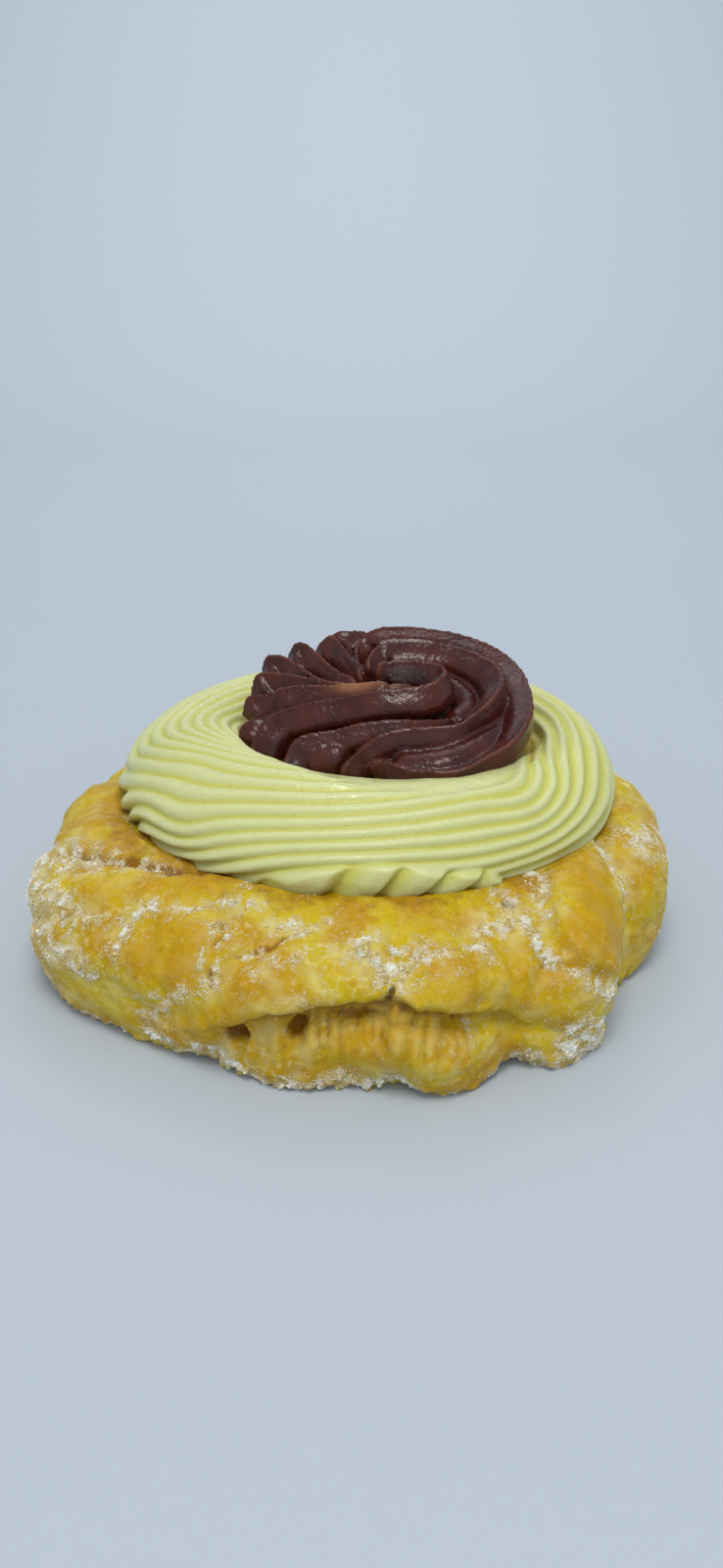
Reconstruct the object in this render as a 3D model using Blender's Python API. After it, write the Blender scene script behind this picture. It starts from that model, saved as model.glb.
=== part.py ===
"""Zeppola: a fried choux bun with a swirl of piped custard and a chocolate rosette on top.

Blender 4.5, metres, +Z up. The origin is the middle of the bun's flat underside and the
piping lies over it. Sizes below are in millimetres and azimuths in degrees, counted
counter-clockwise from +X; MM turns the finished points to metres.
"""

import bmesh
import bpy
import numpy as np
from mathutils.bvhtree import BVHTree

MM = 0.001

# Driving dimensions of the bun
BUN_HEIGHT = 22.3  # flat seat under the custard
SHOULDER_START = 0.60  # share of the radius where the seat turns down into the rim
FOOT_START = 0.90  # share of the radius where the flat underside turns up into the rim
BUN_SQUARENESS = 0.85  # below 1 the rim is fuller than a half ellipse
BUN_COLUMNS = 62
BUN_RIM_ROWS = 15
BUN_FLAT_ROWS = 2
CREASE_FLOOR = -1.8  # how far the surface between two folds lies under the plain bun
FOLD_SHARE = 0.8  # how much of its height each fold stands over the creases
FOLD_BLEND = 0.42  # rounding of the creases
FOLD_WANDER = 1.5  # how far the folds stray from their paths
RIM_FADE = 20.0  # the folds die out over this rim angle next to the seat and the underside

# Driving dimensions of the custard
PIPING_CENTRE = np.array([4.0, -0.5])
CUSTARD_RADIUS = 38.8
CUSTARD_STRETCH = 1.7  # the swirl is this much longer along STRETCH_AZIMUTH than across
STRETCH_AZIMUTH = 172.0
WELL_RADII = (24.5, 19.0)  # the well that holds the rosette, along X and Y
WELL_SHIFT = 2.5
WELL_FLOOR = 29.6
CONTACT_GAP = 0.3  # between touching pieces
CUSTARD_BASE = BUN_HEIGHT + CONTACT_GAP
CUSTARD_FOOT_ROOM = 2.6  # the crust may rise again this far beyond the custard's foot
SECTION_WIDTH = 13.5  # width at which equal shares of the section are equally long
RIDGE_SHARE = 0.42  # height of a ridge as a share of the ridges' spacing
RIDGE_LIMIT = 1.15  # greatest height of a ridge
CUSTARD_COLUMNS = 70
CUSTARD_ROWS = 30

# Driving dimensions of the rosette
ROSETTE_POLE = np.array([6.5, -7.0, 22.0])  # its ridges lean away from this point
RIDGE_LEAN = 0.5  # 0 is upright, 1 is straight away from the pole
ROSETTE_VOXEL = 1.85
CLEARANCE = 0.4  # of the rosette over the custard
CLEARANCE_REACH = 1.2  # the rosette clears what lies this far to each side of a point too
CLEARANCE_PROBES = 8
PROBE_HEIGHT = 90.0

# The bun's radius by azimuth: it swells at its lobes
BUN_OUTLINE = [
    (0, 52.3), (30, 50.5), (60, 49.5), (90, 48.8), (120, 48.0), (150, 46.8), (168, 46.4),
    (180, 47.6), (190, 49.4), (200, 52.2), (214, 55.2), (230, 53.2), (245, 52.4), (262, 54.4),
    (275, 54.2), (285, 56.4), (293, 54.0), (306, 57.0), (316, 52.5), (325, 51.0), (340, 52.2),
    (360, 52.3),
]  # fmt: skip

# The custard's section from the well over the crest to its foot: (share of the width, height)
CUSTARD_SECTION = [
    (-0.08, 29.8), (0.00, 31.4), (0.10, 33.1), (0.27, 34.0), (0.48, 33.6), (0.69, 32.0),
    (0.87, 29.5), (0.97, 27.0), (1.00, 25.0), (0.98, 23.4),
]  # fmt: skip

# The number of the ridge at five shares of the section, by azimuth. Ridges are numbered in the
# order in which they come up from the foot, and eight of them come up in a turn.
FLOW_SHARES = (0.2, 0.4, 0.6, 0.8, 1.0)
RIDGE_FLOW = [
    (185, -7.0, -3.85, -1.45, 0.40, 1.6), (195, -6.0, -2.60, -0.36, 1.30, 2.5),
    (206, -4.7, -1.30, 0.58, 2.45, 4.5), (222, -3.0, -0.60, 1.30, 3.00, 5.6),
    (234, -2.4, -0.10, 2.15, 4.40, 6.6), (252, -2.0, 0.53, 3.10, 6.00, 8.0),
    (271, -1.0, 1.10, 3.78, 6.60, 9.0), (296, 0.2, 1.80, 4.10, 6.45, 9.2),
    (314, 0.9, 1.90, 3.90, 6.63, 9.3), (321, 1.4, 2.75, 4.65, 7.00, 9.2),
    (328, 2.1, 4.00, 5.63, 7.42, 9.1), (335, 2.9, 4.90, 6.40, 7.75, 9.1),
    (341, 3.4, 5.46, 6.90, 8.05, 9.3), (352, 4.1, 6.14, 7.43, 8.60, 9.9),
    (365, 4.6, 6.50, 7.90, 9.00, 10.2), (430, 4.2, 6.20, 7.80, 9.10, 10.3),
    (500, 3.0, 5.30, 7.30, 8.90, 10.2), (525, 1.9, 4.70, 6.90, 8.50, 9.8),
    (545, 1.0, 4.15, 6.55, 8.40, 9.6),
]  # fmt: skip

# Lobes where the first ridges curl in: path as (azimuth, share), half width, height
LOBES = [
    ([(247, 1.02), (252, 1.00), (258, 0.97), (265, 0.88)], 2.6, 2.0),
    ([(259, 1.02), (265, 1.00), (270, 0.98), (276, 0.87)], 2.6, 2.0),
    ([(271, 1.00), (278, 0.98), (284, 0.95), (289, 0.88)], 2.4, 1.8),
    ([(285, 0.98), (291, 0.97), (296, 0.90)], 2.2, 1.5),
]

# Folds of the crust: name, path as (azimuth, rim angle), half width, height.
# The rim angle is -90 at the edge of the underside, 0 at the waist and 90 at the seat.
FOLDS = [
    ("left_top", [(182, 38), (196, 50), (206, 64), (222, 74)], 8.5, 5.4),
    ("left_back", [(150, 30), (168, 32), (182, 26)], 9.0, 3.2),
    ("left_foot", [(176, -36), (190, -28), (204, -26)], 8.0, 4.6),
    ("left_band", [(194, -6), (204, 12), (214, 30), (224, 46), (236, 58), (252, 70)], 6.2, 5.2),
    ("left_low", [(206, -16), (216, -5), (226, 2), (234, 15), (242, 28)], 7.2, 5.0),
    ("left_under", [(208, -48), (218, -38), (228, -36), (240, -32)], 6.4, 4.6),
    ("front_top", [(249, 33), (256, 49), (264, 63), (278, 66)], 5.6, 4.4),
    ("front_side", [(229, -12), (238, 5), (248, 18)], 5.6, 4.6),
    ("front_left", [(245, -15), (255, 12), (263, 32), (272, 46)], 6.6, 5.2),
    ("front_torn", [(242, -46), (252, -44), (262, -50)], 6.0, 3.4),
    ("front_cave", [(254, -16), (263, -24), (272, -30)], 6.4, 3.4),
    ("front_foot", [(256, -50), (264, -54), (273, -52)], 6.0, 4.0),
    ("front_high", [(282, 53), (290, 50), (300, 47)], 5.6, 3.8),
    ("front_mid", [(279, 30), (287, 32), (296, 23)], 5.8, 5.4),
    ("front_shoulder", [(260, 76), (278, 73), (292, 71), (306, 70)], 6.2, 3.8),
    ("front_patch", [(292, 9), (299, 4), (306, 3)], 5.2, 4.2),
    ("front_nose", [(304, -4), (309, -20), (311, -38)], 4.6, 5.0),
    ("front_bulge", [(277, -16), (282, -30), (287, -44)], 7.4, 5.6),
    ("right_low", [(292, -24), (299, -30), (306, -44)], 6.0, 4.6),
    ("right_foot", [(303, -60), (308, -52), (311, -40)], 5.0, 5.6),
    ("right_lobe", [(322, 74), (324, 58), (317, 43), (312, 26), (311, 2)], 8.2, 6.0),
    ("right_back", [(354, 52), (343, 35), (336, 13), (333, -12), (330, -46)], 8.6, 5.2),
    ("right_far", [(10, 40), (6, 14), (2, -16), (0, -50)], 9.0, 3.8),
    ("back_right", [(32, 46), (26, 20), (24, -20), (26, -50)], 9.0, 3.8),
    ("back_waist", [(40, -30), (58, -8), (78, 2), (98, -4)], 9.5, 5.0),
    ("back_top", [(46, 34), (66, 42), (90, 46), (112, 40)], 9.5, 5.2),
    ("back_left", [(104, -32), (124, -18), (146, -12), (164, -18)], 9.5, 5.0),
    ("back_high", [(114, 26), (132, 22), (148, 24)], 8.5, 4.6),
    ("back_foot", [(60, -52), (84, -46), (108, -52)], 8.0, 4.0),
]

# Low domes that carry the rosette's turns and petals: centre, radii
ROSETTE_CORES = [
    ((7.0, -1.5, 31.0), (18.0, 14.5, 6.6)),
    ((-4.5, 4.0, 33.0), (12.0, 11.5, 5.4)),
    ((-9.0, -2.5, 32.0), (8.5, 7.0, 5.0)),
]

# Ridges of the rosette: name, crest points (x, y, z), half width, half depth
ROSETTE_RIDGES = [
    ("inner_turn", [(-16.6, -10.5, 31), (-15, -8.5, 35.2), (-11.7, -7, 38.3), (-6.3, -7.5, 40),
                    (4.9, -9, 42.7), (9.2, -9, 43.1), (13.8, -7.5, 43.8), (14.9, -3, 44.3),
                    (11.4, 0.4, 44.3), (5.3, 0.5, 43.9), (3.9, -1.1, 43.4)], 2.1, 3.7),
    ("terrace", [(-11.4, -16, 31), (-9.1, -13.3, 35.4), (-4.9, -12.6, 37), (1.1, -12.6, 38.4),
                 (7.9, -12.6, 39.1), (14.7, -10.7, 38.4), (17, -8.5, 38)], 2.2, 3.0),
    ("terrace_face", [(-9, -13.4, 33), (-4.6, -14.2, 35), (0.4, -15, 34.9)], 2.9, 2.8),
    ("channel", [(15, -9.8, 38.8), (19.4, -5, 39.1), (19, 1.2, 40), (12.5, 5, 41),
                 (8, 5.2, 41)], 3.0, 3.2),
    ("middle_turn", [(-2.4, -17.6, 31.4), (0.6, -16.4, 34.9), (4.1, -16, 37.7), (9.4, -15.4, 38.9),
                     (16.2, -14.9, 39.3), (21.4, -11, 41.2), (24.3, -4.5, 42.9), (21.7, 3.5, 43.9),
                     (13.8, 8, 44.5), (5.8, 8.7, 44.3), (2.9, 5, 43), (2.7, 2.5, 42.4)], 2.1, 3.6),
    ("outer_turn", [(1.6, -17, 31.6), (4.6, -18.8, 34.7), (9.6, -21.8, 34.8), (16.8, -22.6, 35.2),
                    (20.9, -20.3, 36.2), (25.6, -17, 37.8), (28.5, -10.5, 39.5), (29, -2, 40.6),
                    (26.2, 7, 42.7), (17.8, 12, 44.9), (8.6, 12.8, 45.8), (2.7, 12.3, 44.9),
                    (0.7, 8.5, 43), (2.5, 3, 41.7)], 2.4, 3.8),
    ("outer_face", [(5, -17.8, 34.2), (11, -19.8, 35.6), (18.8, -18.4, 36.4), (25.1, -11, 37.4),
                    (26.4, -1, 37.6)], 3.3, 3.0),
    ("under_turn", [(19.4, -19, 33.4), (24, -18, 34.6), (27.6, -10, 35.6), (28.4, -3, 36),
                    (26.4, 5, 37), (21, 10.5, 38), (13, 14, 39), (4, 16, 39.5), (-4, 15.5, 39),
                    (-10, 12.5, 38)], 2.8, 4.0),
    ("petal_back", [(-4.8, 16.8, 38.5), (-2.8, 16.5, 43.5), (1.9, 15.8, 43.9), (4, 14, 43.4)],
     1.9, 4.0),
    ("petal_inner", [(-2, 15.5, 43.3), (0.2, 9.5, 42.2), (2, 3.5, 40.8)], 1.9, 3.6),
    ("petal_wide", [(-7.4, 15, 36.5), (-5.3, 14.5, 42.6), (-3.7, 14.2, 43.8), (-0.6, 8, 42.6),
                    (2, 1.5, 40.8)], 2.0, 4.2),
    ("petal_high", [(-12, 13.4, 35.5), (-10.3, 12.7, 42), (-7.6, 11, 43.1), (-3.5, 5, 41.6),
                    (1.1, -1.5, 41.5)], 2.0, 4.2),
    ("petal_mid", [(-16, 9.8, 35), (-14.8, 9.4, 41.1), (-11.6, 8, 42.2), (-6.2, 2, 41),
                   (-3.3, -1, 41.2)], 1.9, 4.2),
    ("petal_low", [(-17, 4.3, 35), (-16, 4.2, 40), (-10.7, 2.5, 41.1), (-2.5, -2.5, 41.6),
                   (5.4, -5.5, 42.9)], 1.9, 3.8),
    ("petal_front", [(-13.6, -3.4, 34.5), (-12.5, -2.7, 39.6), (-8.8, -3, 41.1),
                     (2.6, -6, 42.3)], 2.2, 3.8),
    ("petal_small", [(-18.2, 0.8, 33), (-17.3, 1.1, 37.3), (-13.3, 0.3, 38.5),
                     (-10.6, -1, 39.2)], 1.9, 3.4),
    ("petal_foot", [(-18.8, -5.2, 32), (-16.9, -4.5, 35.4), (-12, -4.5, 36)], 1.9, 3.0),
]  # fmt: skip


def spline(points, count):
    """A Catmull-Rom curve through the points, as count points evenly spaced along it."""
    knots = np.asarray(points, float)
    ends = np.vstack([2 * knots[0] - knots[1], knots, 2 * knots[-1] - knots[-2]])
    steps = np.linspace(0, len(knots) - 1, 40 * len(knots), endpoint=False)
    at, u = steps.astype(int), (steps % 1)[:, None]
    a, b, c, d = (ends[at + shift] for shift in range(4))
    curve = 0.5 * (2 * b + (c - a) * u + (2 * a - 5 * b + 4 * c - d) * u**2
                   + (3 * b - a - 3 * c + d) * u**3)  # fmt: skip
    curve = np.vstack([curve, knots[-1]])
    length = np.insert(np.cumsum(np.linalg.norm(np.diff(curve, axis=0), axis=1)), 0, 0)
    even = np.linspace(0, length[-1], count)
    return np.stack([np.interp(even, length, column) for column in curve.T], axis=1)


def key_curve(x, keys):
    """A smooth curve through rows of x and one or more values, which are the last axis."""
    table = np.asarray(keys, float)
    xs, ys = table[:, 0], table[:, 1:]
    slopes = np.gradient(ys, xs, axis=0)
    i = np.clip(np.searchsorted(xs, x) - 1, 0, len(xs) - 2)
    step = (xs[i + 1] - xs[i])[..., None]
    u = np.clip((np.asarray(x)[..., None] - xs[i][..., None]) / step, 0, 1)
    rise = u * u * (3 - 2 * u)
    bend = u * (1 - u) ** 2 * slopes[i] - u * u * (1 - u) * slopes[i + 1]
    return ys[i] + (ys[i + 1] - ys[i]) * rise + bend * step


def outward_of(grid):
    """Unit normals of a grid that closes in azimuth and runs up from its underside."""
    around = np.roll(grid, -1, axis=1) - np.roll(grid, 1, axis=1)
    normal = np.cross(around, np.gradient(grid, axis=0))
    return normal / np.linalg.norm(normal, axis=-1, keepdims=True)


def distance_to(points, line):
    """How far each point is from the nearest point of a line."""
    return np.linalg.norm(points[..., None, :] - line, axis=-1).min(axis=-1)


def ripples(points, wavelength, seed, waves=20):
    """Smooth unevenness of about -1 to 1: plane waves of one length in fixed directions."""
    rng = np.random.default_rng(seed)
    ways = rng.normal(size=(waves, 3))
    ways *= (2 * np.pi / wavelength / np.linalg.norm(ways, axis=1))[:, None]
    phases = rng.uniform(0, 2 * np.pi, waves)
    return np.cos(points @ ways.T + phases).sum(axis=-1) / np.sqrt(waves)


def add_piece(name, points, faces, colour, roughness):
    """One closed mesh object with its own material; points in millimetres."""
    mesh = bpy.data.meshes.new(name)
    mesh.from_pydata((points * MM).tolist(), [], faces)
    shaped = bmesh.new()
    shaped.from_mesh(mesh)
    bmesh.ops.recalc_face_normals(shaped, faces=shaped.faces)
    shaped.to_mesh(mesh)
    shaped.free()
    mesh.shade_smooth()
    material = bpy.data.materials.new(name)
    material.use_nodes = True
    shader = material.node_tree.nodes["Principled BSDF"]
    shader.inputs["Base Color"].default_value = (*colour, 1)
    shader.inputs["Roughness"].default_value = roughness
    mesh.materials.append(material)
    piece = bpy.data.objects.new(name, mesh)
    bpy.context.scene.collection.objects.link(piece)
    return piece


def closed_shell(grid):
    """Points and faces of rows that close in azimuth, with a pole at each end.

    The grid is (rows, columns, 3), and its first and last rows are single points repeated.
    """
    rows, columns = grid.shape[:2]
    points = np.vstack([grid[0, :1], grid[1:-1].reshape(-1, 3), grid[-1, :1]])
    last = len(points) - 1

    def index(row, column):
        if row == 0:
            return 0
        return last if row == rows - 1 else 1 + (row - 1) * columns + column % columns

    faces = []
    for row in range(rows - 1):
        for column in range(columns):
            corners = [index(row, column), index(row, column + 1)]
            corners += [index(row + 1, column + 1), index(row + 1, column)]
            faces.append(list(dict.fromkeys(corners)))
    return points, faces


# --- The bun -------------------------------------------------------------------------------


def bun_surface(azimuth, rim_angle):
    """A point of the plain bun: a flat seat and underside joined by a full rim."""
    phi, turn = np.radians(azimuth), np.radians(rim_angle)
    radius = key_curve(np.mod(azimuth, 360), BUN_OUTLINE)[..., 0]
    start = radius * np.where(turn < 0, FOOT_START, SHOULDER_START)
    out = np.clip(np.cos(turn), 0, 1) ** BUN_SQUARENESS
    up = np.sign(turn) * np.abs(np.sin(turn)) ** BUN_SQUARENESS
    across = start + (radius - start) * out
    height = BUN_HEIGHT / 2 * (1 + up)
    return np.stack([across * np.cos(phi), across * np.sin(phi), height], axis=-1)


def fold_relief(points):
    """How far the crust stands out at each point: the highest of its rounded folds."""
    wander = np.stack([ripples(points, 17, seed) for seed in (1, 2, 3)], axis=-1)
    moved = points + FOLD_WANDER * wander
    heights = [np.full(points.shape[:-1], CREASE_FLOOR)]
    for _, path, half_width, height in FOLDS:
        away = distance_to(moved, bun_surface(*spline(path, 20).T))
        section = np.sqrt(np.clip(1 - (away / half_width) ** 2, 0, 1))
        heights.append(CREASE_FLOOR + FOLD_SHARE * height * section)
    highest = np.max(heights, axis=0)
    return highest + FOLD_BLEND * np.log(np.exp((heights - highest) / FOLD_BLEND).sum(axis=0))


def bun_grid():
    columns = np.linspace(0, 360, BUN_COLUMNS, endpoint=False)
    azimuth, rim_angle = np.meshgrid(columns, np.linspace(-90, 90, BUN_RIM_ROWS))
    plain = bun_surface(azimuth, rim_angle)
    fade = np.clip((90 - np.abs(rim_angle)) / RIM_FADE, 0, 1)
    rim = plain + outward_of(plain) * (fade * fold_relief(plain))[..., None]
    inward = np.linspace(0, 1, BUN_FLAT_ROWS + 1)[:-1, None, None]
    under = rim[0] * np.array([1, 1, 0]) * inward
    seat = rim[-1] * np.array([1, 1, 0]) * inward[::-1] + np.array([0, 0, BUN_HEIGHT])
    return np.concatenate([under, rim, seat])


def pressed_by_custard(points):
    """Keeps the crust under the custard's base, and lets it rise again beyond its foot."""
    offset = points[:, :2] - PIPING_CENTRE
    azimuth = np.degrees(np.arctan2(offset[:, 1], offset[:, 0]))
    beyond = np.linalg.norm(offset, axis=1) - custard_radius(azimuth) - CUSTARD_FOOT_ROOM
    ceiling = BUN_HEIGHT + np.clip(beyond, 0, None)
    height = np.clip(np.minimum(points[:, 2], ceiling), 0, None)
    return np.column_stack([points[:, :2], height])


def make_bun():
    points, faces = closed_shell(bun_grid())
    return add_piece("pastry", pressed_by_custard(points), faces, (0.58, 0.33, 0.05), 0.5)


# --- The custard ---------------------------------------------------------------------------


def custard_radius(azimuth):
    phi = np.radians(azimuth)
    stretched = CUSTARD_STRETCH * np.cos(2 * (phi - np.radians(STRETCH_AZIMUTH)))
    return CUSTARD_RADIUS + stretched - 1.3 * np.cos(phi)


def well_radius(azimuth):
    phi = np.radians(azimuth)
    along, across = WELL_RADII
    plain = 1 / np.hypot(np.cos(phi) / along, np.sin(phi) / across)
    return plain + WELL_SHIFT * np.cos(phi)


def custard_surface(azimuth, share):
    """A point of the plain custard: share runs from 0 in the well to 1 at its foot."""
    table = spline([(SECTION_WIDTH * across, height) for across, height in CUSTARD_SECTION], 200)
    steps = np.linspace(0, 1, len(table))
    width_share = np.interp(share, steps, table[:, 0] / SECTION_WIDTH)
    height = np.interp(share, steps, table[:, 1])
    inner, outer = well_radius(azimuth), custard_radius(azimuth)
    across = inner + (outer - inner) * width_share
    phi = np.radians(azimuth)
    x, y = PIPING_CENTRE
    return np.stack([x + across * np.cos(phi), y + across * np.sin(phi), height], axis=-1)


def ridge_number(azimuth, share):
    """The running number of the ridge at each point, whole on the crests."""
    turned = np.where(azimuth < RIDGE_FLOW[0][0], azimuth + 360, azimuth)
    numbers = key_curve(turned, RIDGE_FLOW)
    before = 2 * numbers[..., :1] - numbers[..., 1:2]
    after = 2 * numbers[..., -1:] - numbers[..., -2:-1]
    padded = np.concatenate([before, numbers, after], axis=-1)
    spacing = FLOW_SHARES[1] - FLOW_SHARES[0]
    place = (share - FLOW_SHARES[0]) / spacing
    at = np.clip(np.floor(place).astype(int), 0, len(FLOW_SHARES) - 2)
    u = place - at
    a, b, c, d = (
        np.take_along_axis(padded, (at + shift)[..., None], axis=-1)[..., 0] for shift in range(4)
    )
    return 0.5 * (2 * b + (c - a) * u + (2 * a - 5 * b + 4 * c - d) * u**2
                  + (3 * b - a - 3 * c + d) * u**3)  # fmt: skip


def ridge_relief(azimuth, share, plain):
    """How far the ridges and the lobes stand out.

    The spacing of the ridges follows from how fast their number changes over the surface, and
    their height is a fixed share of it.
    """
    number = ridge_number(azimuth, share)
    along = np.linalg.norm(np.gradient(plain, axis=0), axis=-1)
    around = np.linalg.norm(np.roll(plain, -1, axis=1) - plain, axis=-1)
    turn = np.roll(number, -1, axis=1) - number
    turn -= np.round(turn)
    spacing = 1 / np.hypot(np.gradient(number, axis=0) / along, turn / around)
    height = np.minimum(RIDGE_SHARE * spacing, RIDGE_LIMIT)
    relief = height * (0.5 + 0.5 * np.cos(2 * np.pi * number))
    for path, half_width, lobe_height in LOBES:
        away = distance_to(plain, custard_surface(*spline(path, 12).T))
        lobe = lobe_height * np.sqrt(np.clip(1 - (away / half_width) ** 2, 0, 1))
        relief = np.maximum(relief, lobe)
    return relief


def make_custard():
    columns = np.linspace(0, 360, CUSTARD_COLUMNS, endpoint=False)
    azimuth, share = np.meshgrid(columns, np.linspace(1, 0, CUSTARD_ROWS))
    plain = custard_surface(azimuth, share)
    top = plain + outward_of(plain) * ridge_relief(azimuth, share, plain)[..., None]
    centre = np.array([*PIPING_CENTRE, 0])
    flat = np.array([1, 1, 0])
    foot = centre + (top[0] - centre) * flat * np.array([0, 0.5])[:, None, None]
    foot[..., 2] = CUSTARD_BASE
    well = centre + (top[-1] - centre) * flat * np.array([0.5, 0])[:, None, None]
    well[..., 2] = WELL_FLOOR
    grid = np.concatenate([foot, top, well])
    grid[..., 2] = np.maximum(grid[..., 2], CUSTARD_BASE)
    points, faces = closed_shell(grid)
    return add_piece("custard_swirl", points, faces, (0.75, 0.72, 0.36), 0.35)


# --- The rosette ---------------------------------------------------------------------------


def ridge_tube(crest, half_width, half_depth, rings=26, sides=12):
    """A tube of oval section whose outer edge follows the crest, tapered to its two ends."""
    path = spline(crest, rings)
    forward = np.gradient(path, axis=0)
    forward /= np.linalg.norm(forward, axis=1, keepdims=True)
    outward = (path - ROSETTE_POLE) * np.array([RIDGE_LEAN, RIDGE_LEAN, 1])
    outward -= (outward * forward).sum(axis=1, keepdims=True) * forward
    outward /= np.linalg.norm(outward, axis=1, keepdims=True)
    sideways = np.cross(forward, outward)
    along = np.linspace(-1, 1, rings)[:, None]
    girth = np.clip(1 - along**6, 0, 1) ** 0.5 * 0.97 + 0.03
    around = np.linspace(0, 2 * np.pi, sides, endpoint=False)
    ring = (np.cos(around)[:, None] * outward[:, None] * half_depth
            + np.sin(around)[:, None] * sideways[:, None] * half_width)  # fmt: skip
    middle = path - outward * half_depth
    tube = middle[:, None] + ring * girth[..., None]
    return np.concatenate([
        np.repeat(middle[:1, None], sides, axis=1), tube,
        np.repeat(middle[-1:, None], sides, axis=1),
    ])  # fmt: skip


def rosette_core(centre, radii, rings=12, sides=28):
    """A low dome that ridges stand on."""
    turn, tilt = np.meshgrid(
        np.linspace(0, 2 * np.pi, sides, endpoint=False), np.linspace(-np.pi / 2, np.pi / 2, rings)
    )
    ball = np.stack([np.cos(tilt) * np.cos(turn), np.cos(tilt) * np.sin(turn), np.sin(tilt)], -1)
    return np.array(centre) + ball * np.array(radii)


def lifted_clear(points, below):
    """Points raised until each stands CLEARANCE over the piece below it and around it."""
    tree = BVHTree.FromPolygons(
        [vertex.co / MM for vertex in below.data.vertices],
        [face.vertices[:] for face in below.data.polygons],
    )
    around = np.linspace(0, 2 * np.pi, CLEARANCE_PROBES, endpoint=False)
    probes = [(0.0, 0.0)]
    probes += [(CLEARANCE_REACH * np.cos(a), CLEARANCE_REACH * np.sin(a)) for a in around]
    lifted = points.copy()
    for point in lifted:
        for x, y in probes:
            hit = tree.ray_cast((point[0] + x, point[1] + y, PROBE_HEIGHT), (0, 0, -1))[0]
            if hit is not None:
                point[2] = max(point[2], hit.z + CLEARANCE)
    return lifted


def make_rosette(custard):
    """Domes and ridges as closed shells, remeshed into one body that rests in the well."""
    shells = [rosette_core(*dome) for dome in ROSETTE_CORES]
    shells += [ridge_tube(*ridge[1:]) for ridge in ROSETTE_RIDGES]
    points, faces = np.empty((0, 3)), []
    for shell in shells:
        some_points, some_faces = closed_shell(shell)
        faces += [[corner + len(points) for corner in face] for face in some_faces]
        points = np.vstack([points, some_points])
    piece = add_piece("chocolate_rosette", points, faces, (0.05, 0.014, 0.008), 0.35)
    remesh = piece.modifiers.new("one_body", "REMESH")
    remesh.mode = "VOXEL"
    remesh.voxel_size = ROSETTE_VOXEL * MM
    graph = bpy.context.evaluated_depsgraph_get()
    joined = bpy.data.meshes.new_from_object(piece.evaluated_get(graph))
    piece.modifiers.clear()
    placed = np.empty(len(joined.vertices) * 3)
    joined.vertices.foreach_get("co", placed)
    placed = lifted_clear(placed.reshape(-1, 3) / MM, custard)
    joined.vertices.foreach_set("co", (placed * MM).ravel())
    joined.shade_smooth()
    piece.data = joined
    return piece


def main():
    for old in list(bpy.data.objects):
        bpy.data.objects.remove(old)
    make_bun()
    make_rosette(make_custard())


main()
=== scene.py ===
"""The looks of a zeppola: a fried, sugared choux bun with piped custard and a chocolate rosette.

Shapes are worked out in millimetres, azimuths in degrees counter-clockwise from +X, and both
are turned to metres and radians only where a mesh or a light is made. The camera looks along +Y.
"""

from __future__ import annotations

import logging
from dataclasses import dataclass, field
from enum import Enum
from itertools import product

import bpy
import numpy as np
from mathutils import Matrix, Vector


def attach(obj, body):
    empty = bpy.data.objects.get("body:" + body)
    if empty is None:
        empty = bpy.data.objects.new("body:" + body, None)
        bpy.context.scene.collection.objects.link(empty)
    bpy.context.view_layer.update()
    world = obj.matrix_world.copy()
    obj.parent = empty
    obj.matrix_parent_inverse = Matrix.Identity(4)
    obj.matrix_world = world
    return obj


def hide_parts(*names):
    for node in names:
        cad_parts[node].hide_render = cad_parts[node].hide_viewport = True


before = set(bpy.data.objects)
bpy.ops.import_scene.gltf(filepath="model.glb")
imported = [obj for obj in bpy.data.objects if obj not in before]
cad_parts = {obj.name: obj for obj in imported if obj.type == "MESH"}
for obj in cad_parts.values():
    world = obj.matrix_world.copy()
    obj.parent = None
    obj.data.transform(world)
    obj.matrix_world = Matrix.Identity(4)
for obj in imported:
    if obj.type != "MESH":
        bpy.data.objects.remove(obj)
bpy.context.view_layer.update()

log = logging.getLogger("zeppola")

Array = np.ndarray
Tree = bpy.types.NodeTree
Socket = bpy.types.NodeSocket
Feed = Socket | float | tuple[float, ...]
Keys = list[tuple[float, ...]]

MM = 0.001
BODY = "root"
TINY = 1e-6
FLAT = np.array([1.0, 1.0, 0.0])
# Points of a spline between two knots, before they are spaced evenly
SPLINE_STEPS = 40
# After how many cells the noise repeats, how many slopes it draws, and what brings it to -1..1
NOISE_CELLS = 256
NOISE_SLOPES = 64
NOISE_GAIN = 1.6
# How long the spots of a noise node are at a scale of 1
SPOT_LENGTH = 0.7

# Settings of nodes: a colour mix, an even S, a sum, a product and the larger of two numbers
COVER = {"data_type": "RGBA"}
EASED = {"interpolation_type": "SMOOTHSTEP"}
PLUS = {"operation": "ADD"}
TIMES = {"operation": "MULTIPLY"}
LARGER = {"operation": "MAXIMUM"}


class Slot(Enum):
    """The record's material slots."""

    CRUST = "fried_crust"
    CUSTARD = "custard"
    CHOCOLATE = "chocolate_cream"


# --- Curves and noise ----------------------------------------------------------------------


def catmull_rom(a: Array, b: Array, c: Array, d: Array, u: Array) -> Array:
    """The cubic through b and c, from u = 0 to 1, whose slopes at them come from a and d."""
    return 0.5 * (
        2 * b + (c - a) * u + (2 * a - 5 * b + 4 * c - d) * u**2 + (3 * b - a - 3 * c + d) * u**3
    )


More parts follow.
